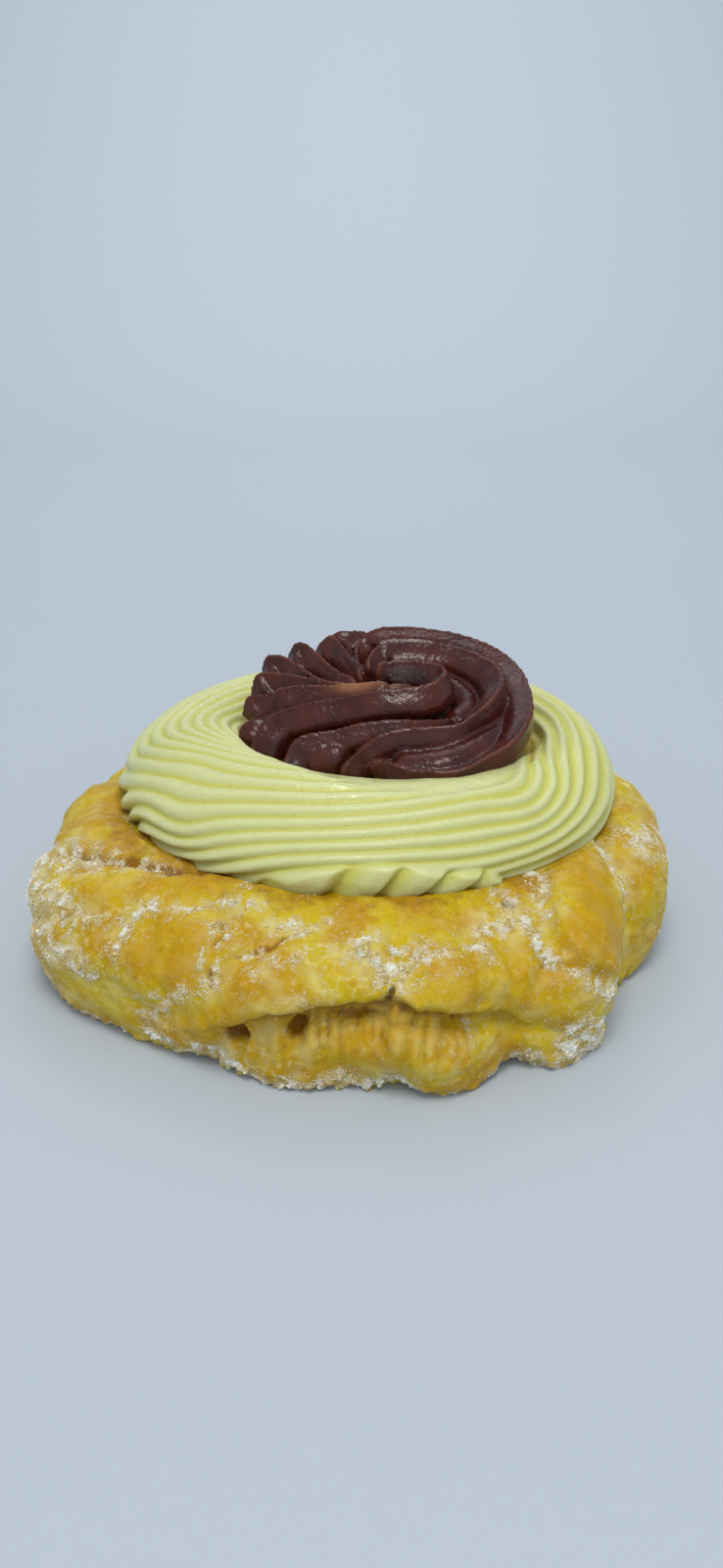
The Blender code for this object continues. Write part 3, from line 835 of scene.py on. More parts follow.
    # Smooth, deep amber patches with little sugar
    glazed: list[Line] = field(default_factory=lambda: [
        Line([(236, 22), (242.5, 24), (248, 27)], 4.0, 0.6),
        Line([(245, -13), (250.5, -3), (254.2, 1)], 3.0, 0.7),
        Line([(319, 47), (312.2, 32), (306.8, 19)], 4.2, 0.75),
        Line([(219.5, 38), (230, 55), (243, 68)], 2.2, 0.5),
        Line([(284, 30), (292, 24), (298, 16)], 5.0, 0.4),
    ])
    sugar_lines: list[Line] = field(default_factory=lambda: [
        Line([(206, 46), (214, 58), (224, 64), (236, 72)], 1.6, 0.7),
        Line([(199, 17), (204, 32), (208, 44), (214, 54)], 3.4, 1.1),
        Line([(204, 10), (212, 20), (220, 24)], 3.6, 1.0),
        Line([(206, -14), (214, 2), (221, 4), (226, 0)], 2.6, 1.0),
        Line([(224, 26), (228, 30), (232, 30)], 1.2, 0.9),
        Line([(232.4, 46), (232.4, 40), (232.2, 28), (232, 14)], 1.1, 1.7),
        Line([(231, 42), (237, 48), (242, 52), (245, 57), (252, 60)], 1.0, 1.4),
        Line([(247, 46), (247.4, 38), (246.8, 28), (247.4, 22), (248.6, 16)], 0.8, 1.7),
        Line([(248.6, 48), (249.8, 40), (249.4, 30), (250, 20)], 0.8, 1.6),
        Line([(253, 34), (257, 42), (261, 48), (265, 57)], 0.9, 1.0),
        Line([(256, 54), (261, 55), (266, 58)], 1.6, 0.8),
        Line([(272.6, 44), (273.5, 39), (275.5, 34), (278, 31), (279.5, 35), (281, 38), (284, 41)],
             1.0, 2.2),
        Line([(277, 45), (279, 44), (282, 44)], 0.9, 1.6),
        Line([(288, 42), (290.5, 40), (292, 36)], 1.0, 1.7),
        Line([(292, 46), (297, 48), (302, 48)], 2.4, 0.9),
        Line([(300, 64), (300, 54), (301, 42)], 3.0, 0.8),
        Line([(310, 70), (305, 56), (301, 44), (300.5, 35), (302, 24), (304, 17), (306, 8),
              (311, -8)], 1.3, 1.6),
        Line([(334, 64), (330, 50), (327, 34), (324, 16), (323, -4), (319, -18), (313, -28)],
             1.2, 2.0),
        Line([(236, -22), (239, -12), (242, -2), (246, 8)], 1.2, 1.2),
        Line([(234, -7), (238, 0), (240, 4)], 1.0, 0.9),
        Line([(236, -32), (240, -42), (244, -52)], 1.2, 1.1),
        Line([(247, -40), (252, -48), (258, -60), (266, -56), (272, -46), (278, -44)], 2.2, 1.2),
        Line([(278, -52), (284, -64), (294, -62)], 1.2, 1.0),
        Line([(291, -50), (298, -62)], 1.4, 0.9),
        Line([(299, -58), (303, -62), (307, -52), (307, -40), (304, -24)], 2.8, 1.7),
        Line([(338, 40), (345, 24), (348, 4)], 4.4, 0.8),
        Line([(216, -24), (218, -50), (230, -58)], 1.4, 0.9),
        Line([(272, 42), (262, 38), (256, 28)], 2.4, 0.5),
        Line([(10, 30), (30, 36), (54, 30)], 3.0, 0.8),
        Line([(70, 24), (92, 28), (110, 20)], 2.6, 0.8),
        Line([(120, 6), (140, 8), (160, 2)], 3.0, 0.8),
    ])

    def surface(self, azimuth: Array, rim_angle: Array) -> Array:
        """Points of the plain bun: a flat seat and underside joined by a full, rounded rim.

        The rim is a quarter of a squared ellipse from the underside's edge up to the waist,
        and a wider one from the waist to the seat.

        Args:
            azimuth: in degrees.
            rim_angle: in degrees, of the same shape.

        Returns:
            (..., 3) in millimetres.
        """
        turn, phi = np.radians(rim_angle), np.radians(azimuth)
        radius = key_curve(np.mod(azimuth, 360), self.outline)
        start = radius * np.where(turn < 0, self.foot_start, self.shoulder_start)
        across = start + (radius - start) * np.clip(np.cos(turn), 0, 1) ** self.squareness
        up = np.sign(turn) * np.abs(np.sin(turn)) ** self.squareness
        height = self.height / 2 * (1 + up)
        return np.stack([across * np.cos(phi), across * np.sin(phi), height], axis=-1)

    def trace(self, points: Array, path: Keys, step: float = 1.0) -> tuple[Array, Array, Array]:
        """How each point lies to a path on the plain bun.

        Args:
            points: (..., 3) in millimetres.
            path: knots as (azimuth, rim angle).
            step: about how far apart the path is tested, in millimetres.

        Returns:
            The distance, the side (-1 to 1, positive left of the path seen from outside) and
            the place along the path (0 to 1), each of the shape of points without its axis.
        """
        rough = self.surface(*spline(path, 30).T)
        length = np.linalg.norm(np.diff(rough, axis=0), axis=1).sum()
        azimuth, rim_angle = spline(path, max(6, int(length / step))).T
        line = self.surface(azimuth, rim_angle)
        ahead = np.gradient(line, axis=0)
        ahead /= np.linalg.norm(ahead, axis=1, keepdims=True)
        east = self.surface(azimuth + 0.5, rim_angle) - line
        north = self.surface(azimuth, np.clip(rim_angle + 0.5, -90, 90)) - line
        outward = np.cross(east, north)
        outward /= np.linalg.norm(outward, axis=1, keepdims=True)
        leftward = np.cross(outward, ahead)
        flat = points.reshape(-1, 3)
        distance, nearest = away_from(flat, line)
        offset = flat - line[nearest]
        side = (offset * leftward[nearest]).sum(axis=1) / np.maximum(distance, TINY)
        shape = points.shape[:-1]
        return distance.reshape(shape), side.reshape(shape), (nearest / len(line)).reshape(shape)

    def fold_relief(self, points: Array) -> tuple[Array, Array]:
        """How far the folds stand out, and how much each point lies in a crease.

        Each fold has a half-elliptic section round its path, and the relief is the smooth
        maximum of them all. A crease is where two folds are equally high, or where none is.

        Args:
            points: (..., 3) on the plain bun.

        Returns:
            The relief in millimetres, and the mask of creases, which get painted shade.
        """
        heights = [np.full(points.shape[:-1], self.crease_floor)]
        for fold in self.folds:
            away = self.trace(points, fold.path)[0]
            section = np.sqrt(np.clip(1 - (away / fold.half_width) ** 2, 0, 1))
            heights.append(self.crease_floor + self.fold_share * fold.height * section)
        stacked = np.stack(heights)
        second, top = np.sort(stacked, axis=0)[-2:]
        total = np.exp((stacked - top) / self.crease_rounding).sum(axis=0)
        relief = top + self.crease_rounding * np.log(total)
        meeting = np.exp(-(top - second) / 0.6) * (1 - smoothstep(-0.8, 1.0, relief))
        bottom = 1 - smoothstep(-1.7, -0.9, relief)
        return relief, np.maximum(0.8 * meeting, 0.6 * bottom)

    def edge_relief(self, points: Array) -> tuple[Array, Array, Array]:
        """Steps at the crust's edges, how torn the surface under them is, and painted shade under
        them.

        The upper side rises towards the edge and the lower side drops away from under it, both
        dying out with distance and towards the ends of the path.

        Args:
            points: (..., 3) on the plain bun.

        Returns:
            The relief in millimetres, the mask of torn crust, and the mask of painted shade under
            the edges.
        """
        relief, torn, shaded = np.zeros((3, *points.shape[:-1]))
        for edge in self.edges:
            away, side, along = self.trace(points, edge.path)
            over = 0.5 * (1 + np.tanh(away * side / self.edge_softness))
            ends = np.sin(np.pi * np.clip(along, 0.02, 0.98)) ** 0.5
            rise = edge.rise * np.exp(-away / edge.rise_width)
            drop = edge.drop * bell(away, edge.drop_width)
            relief += ends * (over * rise - (1 - over) * drop)
            if edge.torn:
                under = ends * (1 - over)
                right_end = smoothstep(0.6, 0.8, along)
                torn += under * bell(away, self.torn_reach, 4) * (1 - 0.7 * right_end)
                shaded += 0.8 * under * bell(away, self.shade_reach)
        return relief, torn, shaded

    def relief(self, points: Array) -> tuple[Array, dict[str, Array]]:
        """The whole relief of the crust over the plain bun, and the masks that go with it.

        Folds and edges wander by slow ripples and by lumps of 5 mm and 1.6 mm. Strands cover
        the torn crumb, cracks and holes are sunk in, and finer lumps lie over everything.

        Args:
            points: (..., 3) on the plain bun.

        Returns:
            The relief in millimetres, and the masks by name.
        """
        warp = np.stack([ripples(points, 17, seed) for seed in (1, 2, 3)], axis=-1)
        fine = drift(points, 5.0, 4)
        slow, medium = self.fold_wander
        relief, painted_shade = self.fold_relief(points + slow * warp + medium * fine)
        medium, small = self.edge_wander
        nudged = points + medium * fine + small * drift(points, 1.6, 7)
        steps, torn, shaded = self.edge_relief(nudged)
        strands = np.abs(lumps((points + 0.4 * fine) * self.strand_squash, 2.2, 21))
        relief += steps
        relief += torn * (2.4 * strands - 0.6)
        # Painted shade: in the gaps between torn strands, under the lip and in the creases
        between = 0.5 * torn * (1 - smoothstep(0.02, 0.25, strands))
        painted_shade = np.maximum(np.maximum(painted_shade, shaded), between)
        # Cracks and holes are sunk in and get painted shade
        for crack in self.cracks:
            notch = bell(self.trace(nudged, crack.path, 0.4)[0], crack.half_width)
            relief -= crack.strength * notch
            painted_shade = np.maximum(painted_shade, notch)
        for hole in self.holes:
            pit = bell(self.trace(points + 0.3 * fine, hole.path, 0.3)[0], hole.half_width, 4)
            relief -= hole.strength * pit
            painted_shade = np.maximum(painted_shade, 1.6 * pit)
        relief += sum(part * lumps(points, size, seed) for part, size, seed in self.unevenness)
        relief += 0.16 * layered(points, 1.5, 33, 2)
        low = 1 - smoothstep(1.5, 4.5, points[..., 2])
        front = smoothstep(10, 35, -points[..., 1])
        fringe = np.abs(layered(points, self.fringe_size, 34, 2))
        relief += low * front * self.fringe_height * fringe
        return relief, {"painted_shade": painted_shade, "torn": torn}

    def dust(self, points: Array, torn: Array) -> dict[str, Array]:
        """Where sugar lies.

        The dust mask is strong along the sugar lines, which noise breaks into clumps, and weak
        in patches over the whole crust. The milk mask is where the crust under it turns milky.
        The glazed patches have little of either.

        Args:
            points: (..., 3) on the plain bun.
            torn: the mask of torn crumb, which less sugar has reached.

        Returns:
            The masks by name.
        """
        moved = points + drift(points, 2.6, 41)
        lined, glazed = np.zeros((2, *points.shape[:-1]))
        for line in self.sugar_lines:
            away = self.trace(moved, line.path)[0]
            skirt = self.skirt_share * bell(away, line.half_width + self.skirt_width)
            heap = np.maximum(bell(away, line.half_width), skirt)
            lined = np.maximum(lined, line.strength * heap)
        for line in self.glazed:
            away = self.trace(moved, line.path)[0]
            glazed = np.maximum(glazed, line.strength * bell(away, line.half_width, 4))
        clumps = 0.3 + 0.9 * smoothstep(-0.6, 0.5, layered(points, 1.5, 46, 3))
        patches = smoothstep(-0.1, 0.8, layered(points, 2.6, 44, 3))
        wide = smoothstep(-0.5, 0.6, lumps(points, 12, 45))
        thin = (0.14 + 0.4 * patches * wide) * (1 - 0.6 * torn)
        dust = np.maximum(lined * clumps, thin) * (1 - 0.7 * glazed)
        milk = (0.2 + 0.6 * wide - 0.2 * torn + 0.5 * lined) * (1 - 0.75 * glazed)
        return {"dust": dust / FriedCrust.dust_gain, "milk": milk, "glazed": glazed}

    def pressed(self, points: Array, custard: CustardSwirl) -> Array:
        """Keeps the crust below the custard, and lets it rise again beyond its foot.

        Args:
            points: (..., 3) on the crust.
            custard: what lies on it.

        Returns:
            The points at their new heights.
        """
        offset = points[..., :2] - custard.centre
        azimuth = np.degrees(np.arctan2(offset[..., 1], offset[..., 0]))
        beyond = np.linalg.norm(offset, axis=-1) - custard.radius(azimuth) - self.custard_gap
        ceiling = self.height + np.clip(self.custard_slope * beyond, 0, None)
        height = np.clip(np.minimum(points[..., 2], ceiling), 0, None)
        return np.concatenate([points[..., :2], height[..., None]], axis=-1)

    def build(self, custard: CustardSwirl, finish: FriedCrust) -> bpy.types.Object:
        """The bun's mesh: flat underside, rim with all its relief, and flat seat.

        Args:
            custard: what lies on the bun.
            finish: what the crust is made of.

        Returns:
            The bun's object.
        """
        back = np.linspace(0, 180, self.back_columns, endpoint=False)
        front = np.linspace(180, 360, self.front_columns, endpoint=False)
        columns = np.concatenate([back, front])
        azimuth, rim_angle = np.meshgrid(columns, np.linspace(-90, 90, self.rim_rows))
        plain = self.surface(azimuth, rim_angle)
        relief, masks = self.relief(plain)
        masks |= self.dust(plain, masks["torn"])
        # Painted shade under the custard's edge: browner and less milky crust
        custard_shade = smoothstep(*self.near_custard, rim_angle)
        masks["painted_shade"] = masks["painted_shade"] + 0.5 * custard_shade
        masks["milk"] = masks["milk"] * (1 - 0.8 * custard_shade)
        fade = np.clip((90 - np.abs(rim_angle)) / self.fade_angle, 0, 1)[..., None]
        rim = plain + outward_of(plain) * fade * relief[..., None]
        middle = np.zeros(3)
        under = disc(rim[0], middle, 0.0, self.flat_rows)
        seat = disc(rim[-1], middle, self.height, self.flat_rows)[::-1]
        grid = self.pressed(np.concatenate([under, rim, seat]), custard)
        blank = np.zeros((self.flat_rows, len(columns)))
        masks = {name: np.concatenate([blank, mask, blank]) for name, mask in masks.items()}
        piece = shell_piece("pastry_crust", grid, masks, finish.material())
        mount(piece, Slot.CRUST, "pastry")
        return piece


# --- The custard ---------------------------------------------------------------------------


@dataclass
class CustardSwirl:
    """A star-tipped strand piped counter-clockwise in one and a third turns, as one surface.

    The surface runs over azimuth and share, from the well (0) over the crest to its foot (1).
    """

    centre: Array = field(default_factory=lambda: np.array([4.0, -0.5]))
    foot_radius: float = 38.8
    foot_shift: float = 1.3
    stretch: float = 1.7
    stretch_azimuth: float = 172.0
    well_radii: tuple[float, float] = (24.5, 19.0)
    well_shift: float = 2.5
    well_floor: float = 29.6
    base: float = 20.5
    flat_rows: int = 5
    # The section (across, height), across as a share of the strand, and the last share of it
    width: float = 13.5
    section: Keys = field(default_factory=lambda: [
        (-0.08, 29.8), (0.00, 31.4), (0.10, 33.1), (0.27, 34.0), (0.48, 33.6), (0.69, 32.0),
        (0.87, 29.5), (0.97, 27.0), (1.00, 25.0), (0.98, 23.2), (0.93, 20.8),
    ])
    last_share: float = 1.06
    # The number of the ridge that lies at shares 0.2, 0.4, 0.6, 0.8 and 1.0, by azimuth. The
    # ridges are numbered as they come up from the foot, and eight come up in a turn.
    flow: Keys = field(default_factory=lambda: [
        (185, -7.0, -3.85, -1.45, 0.40, 1.6),
        (195, -6.0, -2.60, -0.36, 1.30, 2.5),
        (206, -4.7, -1.30, 0.58, 2.45, 4.5),
        (222, -3.0, -0.60, 1.30, 3.00, 5.6),
        (234, -2.4, -0.10, 2.15, 4.40, 6.6),
        (252, -2.0, 0.53, 3.10, 6.00, 8.0),
        (271, -1.0, 1.10, 3.78, 6.60, 9.0),
        (296, 0.2, 1.80, 4.10, 6.45, 9.2),
        (314, 0.9, 1.90, 3.90, 6.63, 9.3),
        (321, 1.4, 2.75, 4.65, 7.00, 9.2),
        (328, 2.1, 4.00, 5.63, 7.42, 9.1),
        (335, 2.9, 4.90, 6.40, 7.75, 9.1),
        (341, 3.4, 5.46, 6.90, 8.05, 9.3),
        (352, 4.1, 6.14, 7.43, 8.60, 9.9),
        (365, 4.6, 6.50, 7.90, 9.00, 10.2),
        (430, 4.2, 6.20, 7.80, 9.10, 10.3),
        (500, 3.0, 5.30, 7.30, 8.90, 10.2),
        (525, 1.9, 4.70, 6.90, 8.50, 9.8),
    ])
    flow_shares: tuple[float, ...] = (0.2, 0.4, 0.6, 0.8, 1.0)
    ridges_in_a_turn: int = 8
    # The ridges' height as a share of their spacing, and the most it may be
    ridge_depth: float = 0.29
    deepest_ridge: float = 0.78
    # How much more the ridges stand out near the foot at the left
    tip_gain: float = 1.1
    # How much of the valleys' painted shade the smeared custard has
    smear_tone: float = 0.4
    # Up to which share the well's painted shade reaches, and how much further at the right front
    well_reach: float = 0.09
    right_reach: float = 0.12
    # Strength, size and seed of the lumps in its skin
    unevenness: Keys = field(default_factory=lambda: [(0.12, 6.0, 51), (0.04, 2.0, 52)])
    # The share below which the ridges are smeared away, by azimuth
    smeared: Keys = field(default_factory=lambda: [
        (0, 0.06), (150, 0.08), (200, 0.06), (235, 0.14), (255, 0.24), (275, 0.32), (292, 0.36),
        (303, 0.36), (312, 0.31), (320, 0.24), (330, 0.15), (342, 0.09), (360, 0.06),
    ])
    # How narrow the crests are, by azimuth: broad at the left, thin at the right
    narrowness: Keys = field(default_factory=lambda: [
        (0, 1.2), (100, 1.1), (185, 0.6), (240, 0.6), (290, 0.75), (330, 1.1), (360, 1.2),
    ])
    columns: int = 660
    rows: int = 132
    # Below this share the front of the strand ends in lobes
    lobe_top: Keys = field(default_factory=lambda: [
        (0, 1.3), (236, 1.3), (243, 0.95), (251, 0.87), (255, 0.83), (264, 0.79), (272, 0.78),
        (278, 0.80), (287, 0.84), (296, 0.89), (300, 0.98), (306, 1.3), (360, 1.3),
    ])
    # The lobes' steep right edges: azimuth at the foot, and how far it leans per share
    lobe_edges: Keys = field(default_factory=lambda: [
        (241, 28), (259.5, 27), (269.6, 34), (279, 52), (288.8, 52), (299, 50),
    ])
    lobe_height: float = 1.6
    # The groove between the strand's inner end and the ring round it: (azimuth, share)
    groove: Line = field(default_factory=lambda: Line(
        [(366, 0.05), (355, 0.09), (345, 0.13), (338, 0.18), (332, 0.24), (326, 0.30)], 0.7, 0.6))

    def radius(self, azimuth: Array) -> Array:
        """The foot's distance from the centre."""
        phi = np.radians(azimuth)
        stretched = self.stretch * np.cos(2 * (phi - np.radians(self.stretch_azimuth)))
        return self.foot_radius + stretched - self.foot_shift * np.cos(phi)

    def well_radius(self, azimuth: Array) -> Array:
        """The well's distance from the centre: a shifted ellipse."""
        phi = np.radians(azimuth)
        along, across = self.well_radii
        ellipse = 1 / np.hypot(np.cos(phi) / along, np.sin(phi) / across)
        return ellipse + self.well_shift * np.cos(phi)

    def surface(self, azimuth: Array, share: Array) -> Array:
        """Points of the plain custard: its section carried round the centre.

        Args:
            azimuth: in degrees.
            share: the place across the strand, of the same shape.

        Returns:
            (..., 3) in millimetres.
        """
        scaled = [(self.width * across, height) for across, height in self.section]
        table = spline(scaled, 300)
        steps = np.linspace(0, self.last_share, len(table))
        across = np.interp(share, steps, table[:, 0] / self.width)
        height = np.interp(share, steps, table[:, 1])
        inner = self.well_radius(azimuth)
        across = inner + (self.radius(azimuth) - inner) * across
        phi = np.radians(azimuth)
        x, y = self.centre
        return np.stack([x + across * np.cos(phi), y + across * np.sin(phi), height], axis=-1)

    def ridge_number(self, azimuth: Array, share: Array) -> Array:
        """The running number of the ridge at each point, whole on the crests.

        It is a smooth curve through the flow's numbers, first over azimuth and then over share.

        Args:
            azimuth: in degrees.
            share: the place across the strand, of the same shape.

        Returns:
            The numbers, of the same shape.
        """
        turned = np.where(azimuth < self.flow[0][0], azimuth + 360, azimuth)
        turn = np.array([360.0] + [self.ridges_in_a_turn] * len(self.flow_shares))
        table = np.array(self.flow, float)
        numbers = key_curve(turned, np.vstack([table[-2:] - turn, table, table[:2] + turn]))
        low, high = self.flow_shares[0], self.flow_shares[-1]
        place = np.clip((share - low) / (high - low), -0.6, 1.1) * (len(self.flow_shares) - 1)
        i = np.clip(np.floor(place).astype(int), 0, len(self.flow_shares) - 2)
        before = 2 * numbers[..., :1] - numbers[..., 1:2]
        after = 2 * numbers[..., -1:] - numbers[..., -2:-1]
        padded = np.concatenate([before, numbers, after], axis=-1)
        four = (np.take_along_axis(padded, (i + k)[..., None], axis=-1)[..., 0] for k in range(4))
        return catmull_rom(*four, place - i)

    def relief(self, azimuth: Array, share: Array, plain: Array) -> tuple[Array, Array]:
        """How far the ridges stand out, and how much painted shade each point gets between them.

        The ridges' spacing follows from how fast the ridge number changes over the surface, and
        their height is a fixed part of it: crests are round and valleys a little narrower.

        Args:
            azimuth: in degrees, (rows, columns).
            share: the place across the strand, (rows, columns).
            plain: the plain custard's points there.

        Returns:
            The relief in millimetres, and the mask of painted shade in the valleys.
        """
        number = self.ridge_number(azimuth, share)
        across = np.linalg.norm(np.gradient(plain, axis=0), axis=-1)
        around = np.linalg.norm(np.roll(plain, -1, axis=1) - plain, axis=-1)
        step = np.gradient(number, axis=0) / np.maximum(across, TINY)
        turn = np.roll(number, -1, axis=1) - number
        turn -= np.round(turn)
        spacing = 1 / np.maximum(np.hypot(step, turn / np.maximum(around, TINY)), 0.2)
        wave = (0.5 + 0.5 * np.cos(2 * np.pi * number)) ** key_curve(azimuth, self.narrowness)
        depth = np.minimum(self.ridge_depth * spacing, self.deepest_ridge)
        tips = smoothstep(0.8, 0.96, share) * smoothstep(176, 186, azimuth)
        depth = depth * (1 + self.tip_gain * tips * (1 - smoothstep(232, 246, azimuth)))
        start = key_curve(azimuth, self.smeared)
        shown = smoothstep(0.0, 0.12, share - start)
        return depth * wave * shown, (1 - wave) * shown + self.smear_tone * (1 - shown)

    def add_lobes(
        self, azimuth: Array, share: Array, relief: Array, valley_shade: Array
    ) -> tuple[Array, Array]:
        """Puts the lobes in place of the ridges at the front of the foot.

        Each lobe rises from the left, is fullest past its middle and drops at its right edge,
        which leans to the right as it goes up.

        Args:
            azimuth: in degrees, (rows, columns).
            share: the place across the strand, (rows, columns).
            relief: the ridges' relief.
            valley_shade: the mask of valleys.

        Returns:
            The relief and the mask, with the lobes in them.
        """
        foot, lean = np.array(self.lobe_edges, float).T
        edges = foot + lean * (1 - np.clip(share, 0.75, 1.1))[..., None]
        parts = (azimuth[..., None] - edges[..., :-1]) / np.diff(edges, axis=-1)
        number = np.clip(parts, 0, 1).sum(axis=-1)
        part = number - np.floor(number)
        rise = smoothstep(0, 0.55, part) ** 0.6 * (1 - smoothstep(0.78, 1.0, part))
        inside = smoothstep(0.0, 0.045, share - key_curve(azimuth, self.lobe_top))
        # Painted shade in the lobes, deepest where they are low
        valley_shade = (1 - inside) * valley_shade + inside * (1.0 - 0.6 * rise)
        return (1 - inside) * relief + inside * self.lobe_height * rise, valley_shade

    def add_groove(self, plain: Array, relief: Array, well: Array) -> tuple[Array, Array]:
        """Sinks the groove in, and paints shade in it.

        Args:
            plain: the plain custard's points, (rows, columns, 3).
            relief: the relief so far.
            well: the mask of painted shade in the well.

        Returns:
            The relief and the mask, with the groove in them.
        """
        line = self.surface(*spline(self.groove.path, 60).T)
        away = away_from(plain.reshape(-1, 3), line)[0].reshape(relief.shape)
        dip = bell(away, self.groove.half_width)
        return relief - self.groove.strength * dip, np.maximum(well, 0.7 * dip)

    def build(self, finish: PipedCustard) -> bpy.types.Object:
        """The custard's mesh: well, ridged top and side, and the foot on the bun.

        Args:
            finish: what the custard is made of.

        Returns:
            The custard's object.
        """
        columns = np.linspace(0, 360, self.columns, endpoint=False)
        azimuth, share = np.meshgrid(columns, np.linspace(self.last_share, 0, self.rows))
        plain = self.surface(azimuth, share)
        relief, valley_shade = self.relief(azimuth, share, plain)
        relief, valley_shade = self.add_lobes(azimuth, share, relief, valley_shade)
        # Painted shade: deeper colour in the well, under the rosette's edge at the right front and
        # in the groove
        reach = self.well_reach + self.right_reach * bell(azimuth - 335, 24)
        relief, deep = self.add_groove(plain, relief, 1 - smoothstep(-0.02, reach, share))
        for part, size, seed in self.unevenness:
            relief = relief + part * lumps(plain, size, seed)
        top = plain + outward_of(plain) * relief[..., None]
        middle = np.array([*self.centre, 0.0])
        foot = disc(top[0], middle, self.base, self.flat_rows)
        well = disc(top[-1], middle, self.well_floor, self.flat_rows)[::-1]
        grid = np.concatenate([foot, top, well])
        grid[..., 2] = np.maximum(grid[..., 2], self.base)
        blank = np.zeros((self.flat_rows, self.columns))
        masks = {
            "valley_shade": np.concatenate([blank, valley_shade, blank]),
            "well": np.concatenate([blank, deep, blank + 1]),
        }
        piece = shell_piece("custard_strand", grid, masks, finish.material())
        mount(piece, Slot.CUSTARD, "custard_swirl")
        return piece


# --- The rosette ---------------------------------------------------------------------------


@dataclass(frozen=True)
class Ridge:
    """A ridge of the rosette: its crest's points, half width, half depth and lean.

    A lean of 0 stands upright, and 1 leans out as far as the pole says. A sharpness of 1 is an
    oval section, and more makes its crest a thin edge.
    """

    crest: Keys
    half_width: float
    half_depth: float
    lean: float = 1.0
    sharpness: float = 2.6


